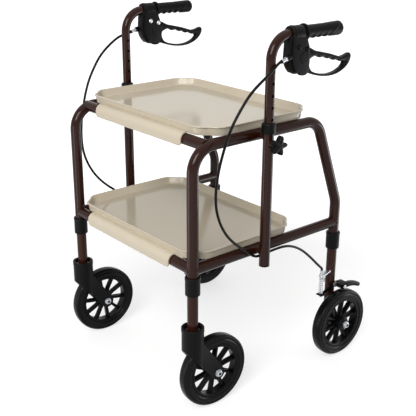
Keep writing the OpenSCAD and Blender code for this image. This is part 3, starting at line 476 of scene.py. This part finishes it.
def trayLip():
    # The lip's section carried across the tray; towards both ends its lower edge rises by a quarter circle
    drop, half, corner = (trayForm[k] for k in ("lipDrop", "lipHalf", "lipCorner"))
    a = np.linspace(0, np.pi / 2, 10)
    x, rise = half - corner * (1 - np.cos(a)), corner * (1 - np.sin(a))
    places, rises = np.concatenate([-x, x[::-1]]), np.concatenate([rise, rise[::-1]])
    outlines = [lipOutline(drop - up) for up in rises]
    return net(np.array([np.column_stack([np.full(len(line), at), line]) for at, line in zip(places, outlines)]))


trayBars = {"upper": (joints["upperBarY"], tubes["railZ"]), "lower": (tubes["frontY"], joints["lowerZ"])}
for level, (barY, barZ) in trayBars.items():
    shell = moved(trayShell(), (0, barY - trayForm["ahead"], barZ + trayForm["lift"]))
    lip = moved(trayLip(), (0, barY, barZ))
    addPiece("tray_moulding_" + level, joined(shell, lip), "tray_" + level, "tray_plastic", ["tray_" + level])
print("trays drawn")

# Wheels, about their own centre with the axle along X. Sections are a radius and a distance from the middle:
# half of the tyre's from the rim to the crown, the whole of the rim's. A spoke reaches from the hub to the rim.
wheelForm = dict(
    tyre=[(66.9, 11.8), (69, 13.8), (75.5, 14), (77.4, 12.4), (78.6, 11.2), (79.8, 12.6), (83.5, 12.6), (87, 8.4),
          (87.5, 2.4)],
    tyreRounds=[1.5, 1.2, 0.4, 0.6, 1, 3, 3],
    rim=[(62, -9), (58, -9.5), (58, 9.5), (60.5, 12), (66.8, 12), (66.8, -12), (60.5, -12), (58, -9.5), (58, 0)],
    rimRounds=[0.3, 0, 1.5, 1.2, 0.5, 0.5, 1.2],
    spoke=[(30, 3.2), (57, 3.6), (62.5, 6.5), (62.5, -6.5), (57, -3.6), (30, -3.2), (20, -4.2), (14, -6.5),
           (14, 6.5), (20, 4.2), (30, 3.2)],
    spokeRounds=1.2, spokeHalf=5.5, spokeEdge=1.6, spokes=10, spokeTurn=9,
    bore=5.2, hubEnd=13, hubR=17, hubSlope=4, hubRounds=[1, 2, 2, 1], count=96)


def tyre():
    # Half section mirrored at the middle and carried round the axle
    half = rounded(wheelForm, "tyre", 5)
    return lathe(np.concatenate([half, half[::-1] * [1, -1]]), (1, 0, 0), count=wheelForm["count"], closed=True)


def wheelCentre(hubHalf, start):
    # Rim and hub are sections carried round the axle; one spoke's plate is turned by equal steps between them
    w = wheelForm
    rim = rounded(w, "rim", 4)[2:-1]
    full = hubHalf - w["hubSlope"]
    hub = filleted([(w["bore"], -hubHalf), (w["hubEnd"], -hubHalf), (w["hubR"], -full), (w["hubR"], full),
                    (w["hubEnd"], hubHalf), (w["bore"], hubHalf)], w["hubRounds"], 4)
    outline = rounded(w, "spoke", 3)[::-1]
    spoke = upright(plate(outline[:-1], -w["spokeHalf"], w["spokeHalf"], w["spokeEdge"]))
    parts = [lathe(rim, (1, 0, 0), count=w["count"], closed=True), lathe(hub, (1, 0, 0), closed=True)]
    parts += [turned(spoke, 360 * k / w["spokes"] + start, "X") for k in range(w["spokes"])]
    return joined(*parts)


# Nut, washer and a black dome of painted shade over the nut's bore on an axle's end: radius, distance from the seat
nutForm = dict(
    washer=[(5, 0), (8.8, 0), (8.8, 1.4), (5, 1.4)], washerRounds=[0.3, 0.5],
    nut=[(4, 1.2), (8, 1.2), (8, 4.6), (6.2, 5.8), (3.4, 5.8)], nutRounds=[0.2, 0.8, 0.5],
    # The dome's section is black plastic that paints the shade inside the nut's bore
    boreShade=[(3.6, 4), (3.6, 6.2), (0.2, 6.6)], boreShadeRounds=[0.4])


def hexNut(x, face):
    # Washer turned round the axle, nut turned in six steps with its rim sloped off
    return joined(*[lathe(rounded(nutForm, name, 3), (face, 0, 0), (x, 0, 0), count)
                    for name, count in (("washer", 36), ("nut", 6))])


def nutShadeDome(x, face):
    # Painted shade of the nut's bore: a low black dome over the hole, turned round the axle
    return lathe(rounded(nutForm, "boreShade", 3), (face, 0, 0), (x, 0, 0), 24)


# Places of the wheels: a caster's turn at rest and its trail, the axles, half lengths of the hubs
caster = dict(turn=-3, trail=56, axleZ=87.5, halfWidth=22, boltR=4.9, boltOut=1, rearX=263.2, rearHub=21,
              frontHub=15.7, sunk=1.5)


def atCaster(part, side):
    # Back from the stem by the trail, up to the axle, turned about the stem, moved under the front leg
    trailing = turned(moved(part, (0, caster["trail"], caster["axleZ"])), caster["turn"])
    return moved(trailing, (side * tubes["x"], tubes["frontY"], 0))


def atRearWheel(part, side):
    # Mirrored for the side and moved to the rear axle
    return moved(mirrored(part, side), (side * caster["rearX"], tubes["rearY"], caster["axleZ"]))


for key, side in sides.items():
    for end, placed, turn in (("front", atCaster, side), ("rear", atRearWheel, 1)):
        wheel, centre = end + "_wheel_" + key, wheelCentre(caster[end + "Hub"], wheelForm["spokeTurn"] * turn)
        addPiece(end + "_tread_" + key, placed(tyre(), side), wheel, "tyre_rubber", [end + "_tyre_" + key])
        addPiece(end + "_centre_" + key, placed(centre, side), wheel, "rim_plastic", [end + "_rim_" + key])
    half = caster["halfWidth"]
    boltEnd = half + caster["boltOut"]
    bolt = lathe([(caster["boltR"], -boltEnd), (caster["boltR"], boltEnd)], (1, 0, 0), count=32)
    bolt = joined(bolt, hexNut(half, 1), hexNut(-half, -1))
    addPiece("caster_bolt_" + key, atCaster(bolt, side), "caster_" + key, "bright_steel", ["caster_axle_" + key])
    # Black domes over both nuts' bores: painted shade of the holes
    boreShades = joined(nutShadeDome(half, 1), nutShadeDome(-half, -1))
    addPiece("caster_bore_shade_" + key, atCaster(boreShades, side), "caster_" + key, "black_plastic")
    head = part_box("rear_axles")[1][0] / mm - caster["rearX"] - caster["sunk"]
    addPiece("rear_nut_" + key, atRearWheel(hexNut(head, 1), side), "frame", "bright_steel")
    # Black dome over the rear nut's bore: painted shade of the hole
    addPiece("rear_bore_shade_" + key, atRearWheel(nutShadeDome(head, 1), side), "frame", "black_plastic")
print("wheels drawn")

# Caster forks: width of the rounded edges, angles in degrees
fork = dict(width=1.4, merge=2e-6, flat=1, sharp=35, rounded=40, steps=3)


def softened(node):
    # Copy of the CAD moulding: flat faces joined, then an arc along each edge that turns more than the limit
    source = nodes[node]
    mesh = source.data.copy()
    work = bmesh.new()
    work.from_mesh(mesh)
    bmesh.ops.remove_doubles(work, verts=work.verts, dist=fork["merge"])
    bmesh.ops.dissolve_limit(work, angle_limit=math.radians(fork["flat"]), verts=work.verts, edges=work.edges)
    work.to_mesh(mesh)
    work.free()
    mesh.shade_smooth()
    mesh.set_sharp_from_angle(angle=math.radians(fork["sharp"]))
    mesh.materials.clear()
    mesh.materials.append(blackNylon)
    piece = bpy.data.objects.new("soft_" + node, mesh)
    scene.collection.objects.link(piece)
    bevel = piece.modifiers.new("edges", "BEVEL")
    bevel.width = fork["width"] * mm
    bevel.segments = fork["steps"]
    bevel.limit_method = "ANGLE"
    bevel.angle_limit = math.radians(fork["rounded"])
    bevel.harden_normals = True
    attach(piece, source["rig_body"])
    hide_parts(node)
    return piece


# Cap ring round the top of each caster's barrel, and the washer under the leg inside it: radius, height
barrel = dict(
    ring=[(24, 204), (25.7, 204), (25.7, 214.4), (21.5, 214.4), (21.5, 213)], ringRounds=[0.5, 1.2, 0.8],
    washer=[(12.8, 204.8), (17, 204.8), (17, 206.2), (12.8, 206.2)], washerRounds=[0.3, 0.5])


def barrelRing():
    # The ring's section carried round the stem
    return lathe(rounded(barrel, "ring", 4), (0, 0, 1), count=64, closed=True)


def stemWasher():
    # The washer's section carried round the stem
    return lathe(rounded(barrel, "washer", 3), (0, 0, 1), closed=True)


for key, side in sides.items():
    softened("caster_fork_" + key)
    place = (side * tubes["x"], tubes["frontY"], 0)
    addPiece("barrel_ring_" + key, moved(barrelRing(), place), "caster_" + key, "black_plastic")
    addPiece("stem_washer_" + key, moved(stemWasher(), place), "frame", "bright_steel")
print("caster forks softened")

# Brake arms about their pivot: a strip from the cable's tab to the pivot, a block, and a curved finger over the
# tyre. The shoe is an arc of a ring about the wheel; the bolt's points are a radius and a height.
arm = dict(x=240, y=196, z=185, thick=4, edge=0.8, pivotR=7.5, webR=6, tab=(-50, -14), tabHalf=7, tabThick=3,
           tabWide=18, tabRound=1, lift=12, wheel=(0, -97.5), shoe=(89.1, 100.5), shoeFrom=50, shoeTo=88,
           finger=(14, 29.5), fingerEdge=3.6, blockFrom=76, blockTop=27.5, blockEdge=1.2, boltShift=(-7, -1),
           boltSeat=27.3, bolt=[(5, 0), (5, 2), (3, 3.6), (0.2, 4)], boltRounds=[0.6, 1.5])


def linkOutline(a, ra, b, rb):
    # Strip with round ends: half a circle about each end, joined by straight edges
    a, b = np.array(a, float), np.array(b, float)
    u = unit(b - a)
    v = np.array([-u[1], u[0]])
    turn = np.linspace(-np.pi / 2, np.pi / 2, 14)[:, None]
    cap = np.cos(turn) * u + np.sin(turn) * v
    return np.concatenate([b + rb * cap, a - ra * cap])


def shoeOutline(start):
    # Arc of a ring about the wheel's centre, its rear end half round, tipped up about the pivot
    low, high = arm["shoe"]
    t = np.radians(np.linspace(start, arm["shoeTo"], 16))[:, None]
    ring = np.concatenate([np.cos(t), np.sin(t)], -1)
    first = np.radians(start)
    cap = np.linspace(0, np.pi, 12)[1:-1, None]
    radial, tangent = np.array([np.cos(first), np.sin(first)]), np.array([np.sin(first), -np.cos(first)])
    half = (high - low) / 2
    rearEnd = (low + half) * radial - half * np.cos(cap) * radial + half * np.sin(cap) * tangent
    line = np.concatenate([low * ring[::-1], rearEnd, high * ring]) + arm["wheel"]
    tip = np.radians(arm["lift"])
    return line @ np.array([[np.cos(tip), np.sin(tip)], [-np.sin(tip), np.cos(tip)]])


def brakeArm(side):
    # Plates side by side along the pivot: strip and web are links from it, block and finger follow the shoe's arc
    tab, w, h = np.array(arm["tab"], float), arm["tabHalf"], arm["tabThick"] / 2
    block = shoeOutline(arm["blockFrom"])
    strip = linkOutline((0, 0), arm["pivotR"], tab + [w, 0], arm["tabThick"])
    web = linkOutline((0, 0), arm["pivotR"], block.mean(0), arm["webR"])
    square = filleted([(0, -h), (w, -h), (w, h), (-w, h), (-w, -h), (0, -h)], arm["tabRound"], 4)[:-1] + tab
    middle, reach = arm["thick"] / 2, arm["tabWide"] / 2
    parts = [plate(strip, 0, arm["thick"], arm["edge"]),
             plate(square, middle - reach, middle + reach, arm["edge"]),
             plate(web, 0, arm["thick"], arm["edge"]),
             plate(block, 0, arm["blockTop"], arm["blockEdge"]),
             plate(shoeOutline(arm["shoeFrom"]), *arm["finger"], arm["fingerEdge"])]
    return mirrored(upright(joined(*parts), arm["x"], arm["y"], arm["z"]), side)


def armBolt(side):
    # Domed head turned about a line through the block, on its outer face
    y, z = shoeOutline(arm["blockFrom"]).mean(0) + arm["boltShift"]
    dome = filleted(np.array(arm["bolt"]) + [0, arm["boltSeat"]], arm["boltRounds"], 4)
    return mirrored(lathe(dome, (1, 0, 0), (arm["x"], arm["y"] + y, arm["z"] + z), 32), side)


for key, side in sides.items():
    addPiece("brake_finger_" + key, brakeArm(side), "brake_arm_" + key, "arm_paint", ["brake_arm_" + key])
    addPiece("brake_bolt_" + key, armBolt(side), "brake_arm_" + key, "bright_steel")

# Cable brackets: a narrow plate from each rear leg to its cable adjuster
bracket = dict(low=219, high=223, r=6.5, line=(241.5, 146), leg=(227, 196), edge=0.8)


def cableBracket(side):
    # Plate on a link between the cable's line and the leg's axis
    outline = linkOutline(bracket["line"], bracket["r"], bracket["leg"], bracket["r"])
    return mirrored(plate(outline, bracket["low"], bracket["high"], bracket["edge"]), side)


brackets = joined(*(cableBracket(side) for side in sides.values()))
addPiece("bracket_plates", brackets, "frame", "bright_steel", ["cable_brackets"])
print("brake arms drawn")

# Collars on the legs and bushes on the posts: radius, height above the lower end
collars = dict(profile=[(12.4, 0), (16.65, 0), (16.65, 35), (17.25, 36), (17.25, 43), (12.4, 43)],
               profileRounds=[1.5, 1, 0.6, 2.2], frontZ=293, rearZ=281)
bushes = dict(profile=[(12.1, 0), (15.5, 0), (15.5, 24), (10.9, 24), (10.9, 17), (12.1, 16)],
              profileRounds=[1, 5, 0.8, 0.3], z=628)


def legCollars():
    # The collar's section carried round each of the four legs
    profile = rounded(collars, "profile", 4)
    legs = ((tubes["frontY"], collars["frontZ"]), (tubes["rearY"], collars["rearZ"]))
    return joined(*[lathe(profile, (0, 0, 1), (side * tubes["x"], y, z), closed=True)
                    for side in sides.values() for y, z in legs])


def postBushes():
    # The bush's section carried round both posts
    profile = rounded(bushes, "profile", 6)
    return joined(*[lathe(profile, (0, 0, 1), (side * joints["postX"], joints["postY"], bushes["z"]), closed=True)
                    for side in sides.values()])


addPiece("collar_mouldings", legCollars(), "frame", "black_plastic", ["leg_collars"])
addPiece("bush_mouldings", postBushes(), "frame", "black_plastic", ["post_bushes"])

# Clamping knobs; neck and stud are a radius and a distance from the walker's middle
knobForm = dict(mean=16.6, swing=5.2, lobes=5, points=120, low=284.0, high=299.0, z=607, edge=3.4, crown=0.8,
                neck=[(4, 279.1), (9, 279.1), (10.5, 285), (4, 285)], neckRounds=[1, 0.5],
                stud=[(3.9, 271.7), (3.9, 282)])


def starKnob(side):
    # Outline whose radius swings once for each lobe, as a crowned plate, on a turned neck and stud
    k = knobForm
    a = around(k["points"])
    r = k["mean"] + k["swing"] * np.cos(k["lobes"] * a)
    outline = r[:, None] * np.column_stack([np.cos(a), np.sin(a)])
    place = (0, joints["postY"], k["z"])
    star = upright(plate(outline, k["low"], k["high"], k["edge"], k["crown"]), *place)
    neck = lathe(rounded(k, "neck", 4), (1, 0, 0), place, 40)
    return mirrored(joined(star, neck, lathe(k["stud"], (1, 0, 0), place, 24)), side)


for key, side in sides.items():
    addPiece("clamp_knob_" + key, starKnob(side), "knob_" + key, "black_plastic", ["star_knob_" + key])
print("collars, bushes and knobs drawn")

# Grips along the handle tube, with finger waves below and a slanted crease on both sides
gripForm = dict(start=90, z=830, length=118, r=14.4, flare=1.2, flareFrom=55, flareOver=50, rows=120, count=72,
                dome=9, domeRows=10, domeFrom=8, domeTo=80,
                wave=3.6, wavePitch=18, waveStart=11, waves=4, wavePower=1.3,
                creaseAt=86, creaseSlant=24, creasePower=0.7, ridge=0.9, ridgeWide=1.4, step=1.3, stepOver=6,
                flange=[(10.7, 0), (18.5, 0), (18.5, 5), (13, 6.5)], flangeRounds=[1.8, 1.8], flangeIn=4)


def gripBody():
    # Radius over length and angle: a smooth flare, less a raised cosine for each finger on the lower half, plus a
    # bell-shaped ridge and a small step along the crease; the end is a quarter circle
    g = gripForm
    full = g["length"] - g["dome"]
    s = np.concatenate([np.linspace(g["flangeIn"], full, g["rows"]), np.full(g["domeRows"], full)])
    bow = np.radians(np.linspace(g["domeFrom"], g["domeTo"], g["domeRows"]))
    bow = np.concatenate([np.zeros(g["rows"]), bow])
    along = s + g["dome"] * np.sin(bow)
    a = around(g["count"])
    x, z = np.cos(a)[None], np.sin(a)[None]
    swell = np.clip((s - g["flareFrom"]) / g["flareOver"], 0, 1)
    r = g["r"] + g["flare"] * swell**2 * (3 - 2 * swell) - g["dome"] * (1 - np.cos(bow))
    phase = np.clip((s - g["waveStart"]) / g["wavePitch"], 0, g["waves"])
    hollow = 0.5 - 0.5 * np.cos(2 * np.pi * phase)
    r = r[:, None] - g["wave"] * hollow[:, None] * np.clip(-z, 0, 1) ** g["wavePower"]
    crease = along[:, None] - (g["creaseAt"] + g["creaseSlant"] * z)
    ridge = g["ridge"] * np.exp(-(crease / g["ridgeWide"]) ** 2)
    step = g["step"] * np.clip(crease / g["stepOver"], 0, 1)
    r = r + np.abs(x) ** g["creasePower"] * (ridge - step)
    points = np.stack([r * x, np.broadcast_to(along[:, None], r.shape), r * z], -1)
    flange = lathe(rounded(g, "flange", 5), (0, 1, 0), count=56)
    return joined(net(points), flange)


def atHandle(part, side, y=0):
    # From the handle tube's axis above the post to the walker, mirrored for the side
    return mirrored(moved(part, (joints["postX"], joints["postY"] + y, gripForm["z"])), side)


for key, side in sides.items():
    grip = atHandle(gripBody(), side, gripForm["start"])
    addPiece("hand_grip_" + key, grip, "handle_" + key, "grip_rubber", ["grip_" + key])
print("grips drawn")

# Brake cables: the ferrule's seat from the handle tube's axis above the post, the low end at the adjuster.
# The sleeve's points are a radius and a distance from the seat.
cable = dict(r=3.0, count=16, lead=9, tilt=15, line=(241.5, 146), low=237.8, rise=5, steps=12, passes=60,
             ferrule=(9, 47, -46), ferruleLength=25.8,
             sleeve=[(2.8, -25), (4.5, -25), (4.5, -21), (4, -20.5), (4, -15), (4.9, -14.4), (4.9, -11), (2.8, -11)],
             sleeveRounds=[0.6, 0.4, 0.2, 0.2, 0.4, 0.6], bootPoints=13, bootR=4.4, bootTaper=1.7, bootPower=0.7)
# Brake housings. Cheeks, core and nose are outlines seen from the side: back from the post, up from the tube's
# axis; the cheeks' points are shares of length and height. The rest is a radius and a distance along an axis.
housing = dict(
    front=50, length=52, height=88, cheek=(7.3, 15), cheekEdge=2.6, cheekCrown=0.9,
    shares=[(0.04, 0.02), (0.00, -0.26), (-0.03, -0.54), (0.05, -0.74), (0.20, -0.90), (0.33, -0.92),
            (0.46, -0.985), (0.74, -1.00), (0.92, -0.93), (0.98, -0.72), (0.98, -0.50), (0.96, -0.36),
            (0.86, -0.20), (0.68, 0.02)],
    core=[(53, -1), (51, -46), (55, -70), (66, -82), (79, -82), (79, -18), (72, -1)], coreRounds=[4, 6, 6, 3, 3],
    coreHalf=7.4, coreEdge=0.2,
    nose=[(60, 1), (50, 1), (45, -15), (44, -28), (43, -42), (43, -54), (47, -66), (54, -76), (62, -80), (64, -46)],
    noseHalf=10.5, noseEdge=2.6,
    spout=[(0.2, 2), (5.4, 2), (6.4, -10), (4.7, -12), (0.2, -12)], spoutRounds=[1, 1, 0.6],
    strap=[(10.8, 50), (16.5, 50), (16.5, 84), (10.8, 84)], strapRounds=[2.2, 1.4],
    collar=[(10.7, 51), (15.2, 51), (17.8, 57), (15, 62)], collarRounds=[2, 2.5],
    bossAt=(84, -50), boss=[(0.2, 16.9), (12.5, 16.9), (13.5, 16.2), (13.5, 14.5)], bossRounds=[1.2, 0.4],
    boltsAt=((67, -27), (91, -33)), bolt=[(0.2, 19), (4.2, 18.6), (5.6, 16.8), (5.6, 14.8)], boltRounds=[3, 1])


def ferruleAxis():
    # Backwards along the tube, tilted up
    tilt = math.radians(cable["tilt"])
    return np.array([0, math.cos(tilt), math.sin(tilt)])


def cableFerrule():
    # Sleeve turned about the ferrule's axis, with a raised band at both ends
    return lathe(rounded(cable, "sleeve", 4), ferruleAxis(), cable["ferrule"], 40, closed=True)


def brakeHousing():
    # Two crowned plates over a core plate and a nose plate; spout, strap, collar and bosses are turned shapes
    h = housing
    outline = curve(np.array(h["shares"]) * [h["length"], h["height"]] + [h["front"], 0], 5, closed=True)
    cheek = upright(plate(outline, *h["cheek"], h["cheekEdge"], h["cheekCrown"]))
    core = plate(rounded(h, "core", 4), -h["coreHalf"], h["coreHalf"], h["coreEdge"])
    nose = plate(curve(h["nose"], 6, closed=True), -h["noseHalf"], h["noseHalf"], h["noseEdge"])
    parts = [cheek, mirrored(cheek, -1), upright(core), upright(nose)]
    parts.append(lathe(rounded(h, "spout", 4), ferruleAxis(), cable["ferrule"], 36))
    parts += [lathe(rounded(h, name, 5), (0, 1, 0), count=56) for name in ("strap", "collar")]
    parts += [lathe(rounded(h, "boss", 4), (face, 0, 0), (0, *h["bossAt"])) for face in (1, -1)]
    return joined(*parts)


def housingBolts(face):
    # Domes turned about both bolts: heads on the outer face, riveted ends on the inner one
    dome = rounded(housing, "bolt", 4)
    return joined(*[lathe(dome, (face, 0, 0), (0, y, z), 32) for y, z in housing["boltsAt"]])


# Brake levers: stations round the loop, each from an outer to an inner point, in shares of length and height
leverForm = dict(
    pivotY=91, drop=33, length=154, height=68, half=6.5, swell=1.5, slotEnd=20, swellOver=15, power=0.72, count=20,
    bossR=11, bossPoints=40, bossEdge=1,
    stations=[
        ((0.08, 0.03), (0.150, -0.37)), ((0.24, -0.115), (0.250, -0.285)), ((0.34, -0.17), (0.335, -0.365)),
        ((0.42, -0.215), (0.420, -0.355)), ((0.50, -0.255), (0.495, -0.435)), ((0.57, -0.295), (0.565, -0.430)),
        ((0.63, -0.335), (0.625, -0.515)), ((0.70, -0.385), (0.690, -0.510)), ((0.78, -0.43), (0.765, -0.585)),
        ((0.88, -0.40), (0.820, -0.600)), ((0.97, -0.35), (0.842, -0.630)), ((1.00, -0.46), (0.846, -0.670)),
        ((0.96, -0.66), (0.835, -0.715)), ((0.86, -0.84), (0.780, -0.810)), ((0.70, -0.97), (0.670, -0.895)),
        ((0.52, -1.00), (0.520, -0.925)), ((0.34, -0.95), (0.360, -0.880)), ((0.17, -0.84), (0.200, -0.770)),
        ((0.05, -0.72), (0.145, -0.630)), ((0.00, -0.40), (0.130, -0.500)), ((-0.02, -0.15), (0.135, -0.43))])


def brakeLever():
    # Loop of oval sections, cosine and sine raised to a power so that they fill out; past the housing's slot the
    # loop is thicker. The boss is a round plate about the pivot.
    f = leverForm
    size = np.array([f["length"], f["height"]])
    both = curve(np.array(f["stations"]).reshape(-1, 4), 6, closed=True).reshape(-1, 2, 2) * size
    middle, reach = both.mean(1), (both[:, 0] - both[:, 1]) / 2
    a = around(f["count"])
    c = np.sign(np.cos(a)) * np.abs(np.cos(a)) ** f["power"]
    s = np.sign(np.sin(a)) * np.abs(np.sin(a)) ** f["power"]
    flat = middle[:, None] + reach[:, None] * c[None, :, None]
    clear = np.clip((middle[:, :1] - f["slotEnd"]) / f["swellOver"], 0, 1)
    thick = ((f["half"] + f["swell"] * clear) * s)[..., None]
    loop = net(np.concatenate([flat, thick], -1), closeRows=True)
    b = around(f["bossPoints"])
    boss = plate(f["bossR"] * np.column_stack([np.cos(b), np.sin(b)]), -f["half"], f["half"], f["bossEdge"])
    return upright(joined(loop, boss), 0, f["pivotY"], -f["drop"])


for key, side in sides.items():
    handle, heads, ends = "handle_" + key, housingBolts(1), housingBolts(-1)
    addPiece("lever_housing_" + key, atHandle(brakeHousing(), side), handle, "black_plastic",
             ["brake_housing_" + key])
    addPiece("cable_sleeve_" + key, atHandle(cableFerrule(), side), handle, "bright_steel",
             ["cable_ferrule_" + key])
    addPiece("housing_heads_" + key, atHandle(heads, side), handle, "bright_steel",
             ["housing_bolts_" + key], armEnamel)
    addPiece("housing_ends_" + key, atHandle(ends, side), handle, "bright_steel")
    addPiece("loop_lever_" + key, atHandle(brakeLever(), side), "lever_" + key, "black_plastic",
             ["brake_lever_" + key])
print("brake handles drawn")

# Route of a brake cable: out from the leg, back from the front legs, height, in metres
cableRoute = [
    (0.052, 0.172, 0.768), (0.054, 0.148, 0.753), (0.050, 0.112, 0.728), (0.047, 0.088, 0.696),
    (0.043, 0.066, 0.662), (0.039, 0.050, 0.616), (0.035, 0.038, 0.568), (0.032, 0.034, 0.515),
    (0.030, 0.042, 0.472), (0.027, 0.064, 0.429), (0.024, 0.094, 0.396), (0.021, 0.128, 0.370),
    (0.019, 0.148, 0.353), (0.017, 0.166, 0.341), (0.017, 0.184, 0.339), (0.015, 0.228, 0.341),
    (0.013, 0.272, 0.338), (0.010, 0.310, 0.321), (0.008, 0.340, 0.300), (0.012, 0.365, 0.275),
    (0.016, 0.386, 0.252)]


def cablePath():
    # Smooth line from the ferrule along the route to the adjuster, evened out: in each pass a point becomes half
    # itself and a quarter of both neighbours
    along = ferruleAxis()
    seat = np.array([joints["postX"], joints["postY"], gripForm["z"]]) + cable["ferrule"]
    start = seat - cable["ferruleLength"] * along
    end = np.array([*cable["line"], cable["low"]])
    route = np.array(cableRoute) / mm + [tubes["x"], tubes["frontY"], 0]
    stops = [start, start - cable["lead"] * along, *route, end + [0, 0, cable["rise"]], end]
    line = curve(stops, cable["steps"])
    for turn in range(cable["passes"]):
        line[1:-1] = (line[:-2] + 2 * line[1:-1] + line[2:]) / 4
    return line


def cableJacket(side):
    # A circle carried along the cable's path
    return mirrored(tube(cablePath(), cable["r"], (1, 0, 0), cable["count"]), side)


def cableBoot(side):
    # Rubber boot over the cable where it leaves the ferrule: radius falls from the ferrule's to the cable's
    path = cablePath()[:cable["bootPoints"]]
    share = np.linspace(0, 1, len(path))
    radius = cable["bootR"] - cable["bootTaper"] * share ** cable["bootPower"]
    return mirrored(tube(path, radius, (1, 0, 0), 24), side)


# The jacket is attached to no body and stays where it is drawn; the boot on its upper end follows the handle
for key, side in sides.items():
    piece = addPiece("cable_jacket_" + key, cableJacket(side), None, "cable_sheath", ["brake_cable_" + key])
    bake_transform(piece)
    addPiece("cable_boot_" + key, cableBoot(side), "handle_" + key, "cable_sheath")
print("cables drawn")

# Return springs and inner wires between bracket and brake arm; nipple: radius, height
spring = dict(r=4.8, wire=0.75, turns=9, turnSteps=24, count=10, low=172.8, high=218.7, endShare=0.04, keep=0.77,
              wireR=0.8, wireLow=166, wireHigh=221, wireKeep=0.81,
              nipple=[(0.5, 164.2), (2.5, 164.2), (2.5, 169.2), (0.5, 169.2)], nippleRounds=0.6)


def returnSpring(side):
    # Helix: steady rise with the angle, with a short level length at both ends
    f = spring
    t = np.linspace(0, 1, f["turns"] * f["turnSteps"])
    a = 2 * np.pi * f["turns"] * t
    ease = np.clip((t - f["endShare"]) / (1 - 2 * f["endShare"]), 0, 1)
    height = f["low"] + f["wire"] + ease * (f["high"] - f["low"] - 2 * f["wire"])
    path = np.column_stack([f["r"] * np.cos(a), f["r"] * np.sin(a), height])
    outwards = np.column_stack([np.cos(a), np.sin(a), np.zeros(len(a))])
    return mirrored(moved(tube(path, f["wire"], outwards, f["count"]), (*cable["line"], 0)), side)


def innerWire(side):
    # Wire and nipple turned about the cable's line
    f, place = spring, (*cable["line"], 0)
    wire = lathe([(f["wireR"], f["wireLow"]), (f["wireR"], f["wireHigh"])], (0, 0, 1), place, 12)
    nipple = lathe(rounded(f, "nipple", 3), (0, 0, 1), place, 24)
    return mirrored(joined(wire, nipple), side)


for key, side in sides.items():
    coil = addPiece("coil_spring_" + key, returnSpring(side), "frame", "bright_steel", ["return_spring_" + key])
    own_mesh(coil)
    wire = addPiece("pull_wire_" + key, innerWire(side), "frame", "bright_steel", ["inner_wire_" + key])
    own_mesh(wire)
print("springs drawn")

# Finishes of the CAD pieces that stay
for row in frame["record"]["subparts"]:
    mesh = nodes[row["node"]].data
    mesh.materials.clear()
    mesh.materials.append(finishes[row["material_slot"]])
print("finishes given")

# Stage: a floor that looks white away from the walker, and soft lamps
stage = dict(world=0.28, floorSize=40, floorTone="#5c5c5c", seenTone="#b0b0b0", floorRough=0.6, nearLift=0.62,
             whiteFrom=0.6, whiteTo=1.5, lampAim=(0, 0, 0.4))
lamps = dict(
    key=dict(place=(1.4, -2.3, 2.3), size=(1.6, 1.6), power=94),
    left=dict(place=(-0.15, -1.05, 0.3), size=(0.26, 0.6), power=2.6),
    right=dict(place=(0.62, 0.88, 0.3), size=(0.26, 0.6), power=3.0),
    back=dict(place=(-2.3, 1.95, 1.55), size=(3.4, 2.0), power=3),
    top=dict(place=(0.1, 0.2, 3.2), size=(3.2, 3.2), power=17))


def seenRays(tree):
    # One for rays from the camera, from a mirror or through glass, none for the rays that light the walker
    path = addNode(tree, "ShaderNodeLightPath")
    mirror = addNode(tree, "ShaderNodeMath", {"operation": "MAXIMUM"}, {
        0: path.outputs["Is Glossy Ray"], 1: path.outputs["Is Transmission Ray"]})
    return addNode(tree, "ShaderNodeMath", {"operation": "MAXIMUM"}, {
        0: path.outputs["Is Camera Ray"], 1: mirror.outputs[0]}).outputs[0]


def whiteWhereSeen(tree, strength):
    # The strength times seenRays
    white = addNode(tree, "ShaderNodeMath", {"operation": "MULTIPLY"}, {0: seenRays(tree), 1: strength})
    return white.outputs[0]


def setFloor():
    # Seen floor: grey that takes the shadow, plus white that rises smoothly with the distance from the walker
    bpy.ops.mesh.primitive_plane_add(size=stage["floorSize"])
    floor = bpy.context.object
    floor.name = "floor"
    material = bpy.data.materials.new("pale_floor")
    material.use_nodes = True
    tree = material.node_tree
    shader = tree.nodes["Principled BSDF"]
    tones = addNode(tree, "ShaderNodeMix", {"data_type": "RGBA"}, {
        0: seenRays(tree), "A": linear(stage["floorTone"]), "B": linear(stage["seenTone"])})
    tree.links.new(tones.outputs["Result"], shader.inputs["Base Color"])
    shader.inputs["Roughness"].default_value = stage["floorRough"]
    place = addNode(tree, "ShaderNodeTexCoord").outputs["Object"]
    away = addNode(tree, "ShaderNodeVectorMath", {"operation": "LENGTH"}, {0: place}).outputs["Value"]
    lift = addNode(tree, "ShaderNodeMapRange", {"interpolation_type": "SMOOTHSTEP"}, {
        "Value": away, "From Min": stage["whiteFrom"], "From Max": stage["whiteTo"],
        "To Min": stage["nearLift"], "To Max": 1.0}).outputs["Result"]
    shader.inputs["Emission Color"].default_value = (1, 1, 1, 1)
    tree.links.new(whiteWhereSeen(tree, lift), shader.inputs["Emission Strength"])
    floor.data.materials.append(material)


def setWorld():
    # White world: full strength where it is seen, a lower one for the light on the walker
    world = bpy.data.worlds.new("studio")
    world.use_nodes = True
    tree = world.node_tree
    background = tree.nodes["Background"]
    background.inputs["Color"].default_value = (1, 1, 1, 1)
    strength = addNode(tree, "ShaderNodeMath", {"operation": "ADD"}, {
        0: whiteWhereSeen(tree, 1 - stage["world"]), 1: stage["world"]})
    tree.links.new(strength.outputs[0], background.inputs["Strength"])
    scene.world = world


def setLamps():
    # Rectangles of light, each turned to face one point in the walker's middle
    for name, lamp in lamps.items():
        data = bpy.data.lights.new(name, "AREA")
        data.shape = "RECTANGLE"
        data.size, data.size_y = lamp["size"]
        data.energy = lamp["power"]
        light = bpy.data.objects.new(name, data)
        light.location = lamp["place"]
        away = Vector(lamp["place"]) - Vector(stage["lampAim"])
        light.rotation_euler = away.to_track_quat("Z", "Y").to_euler()
        scene.collection.objects.link(light)


setFloor()
setWorld()
setLamps()
print("stage set")
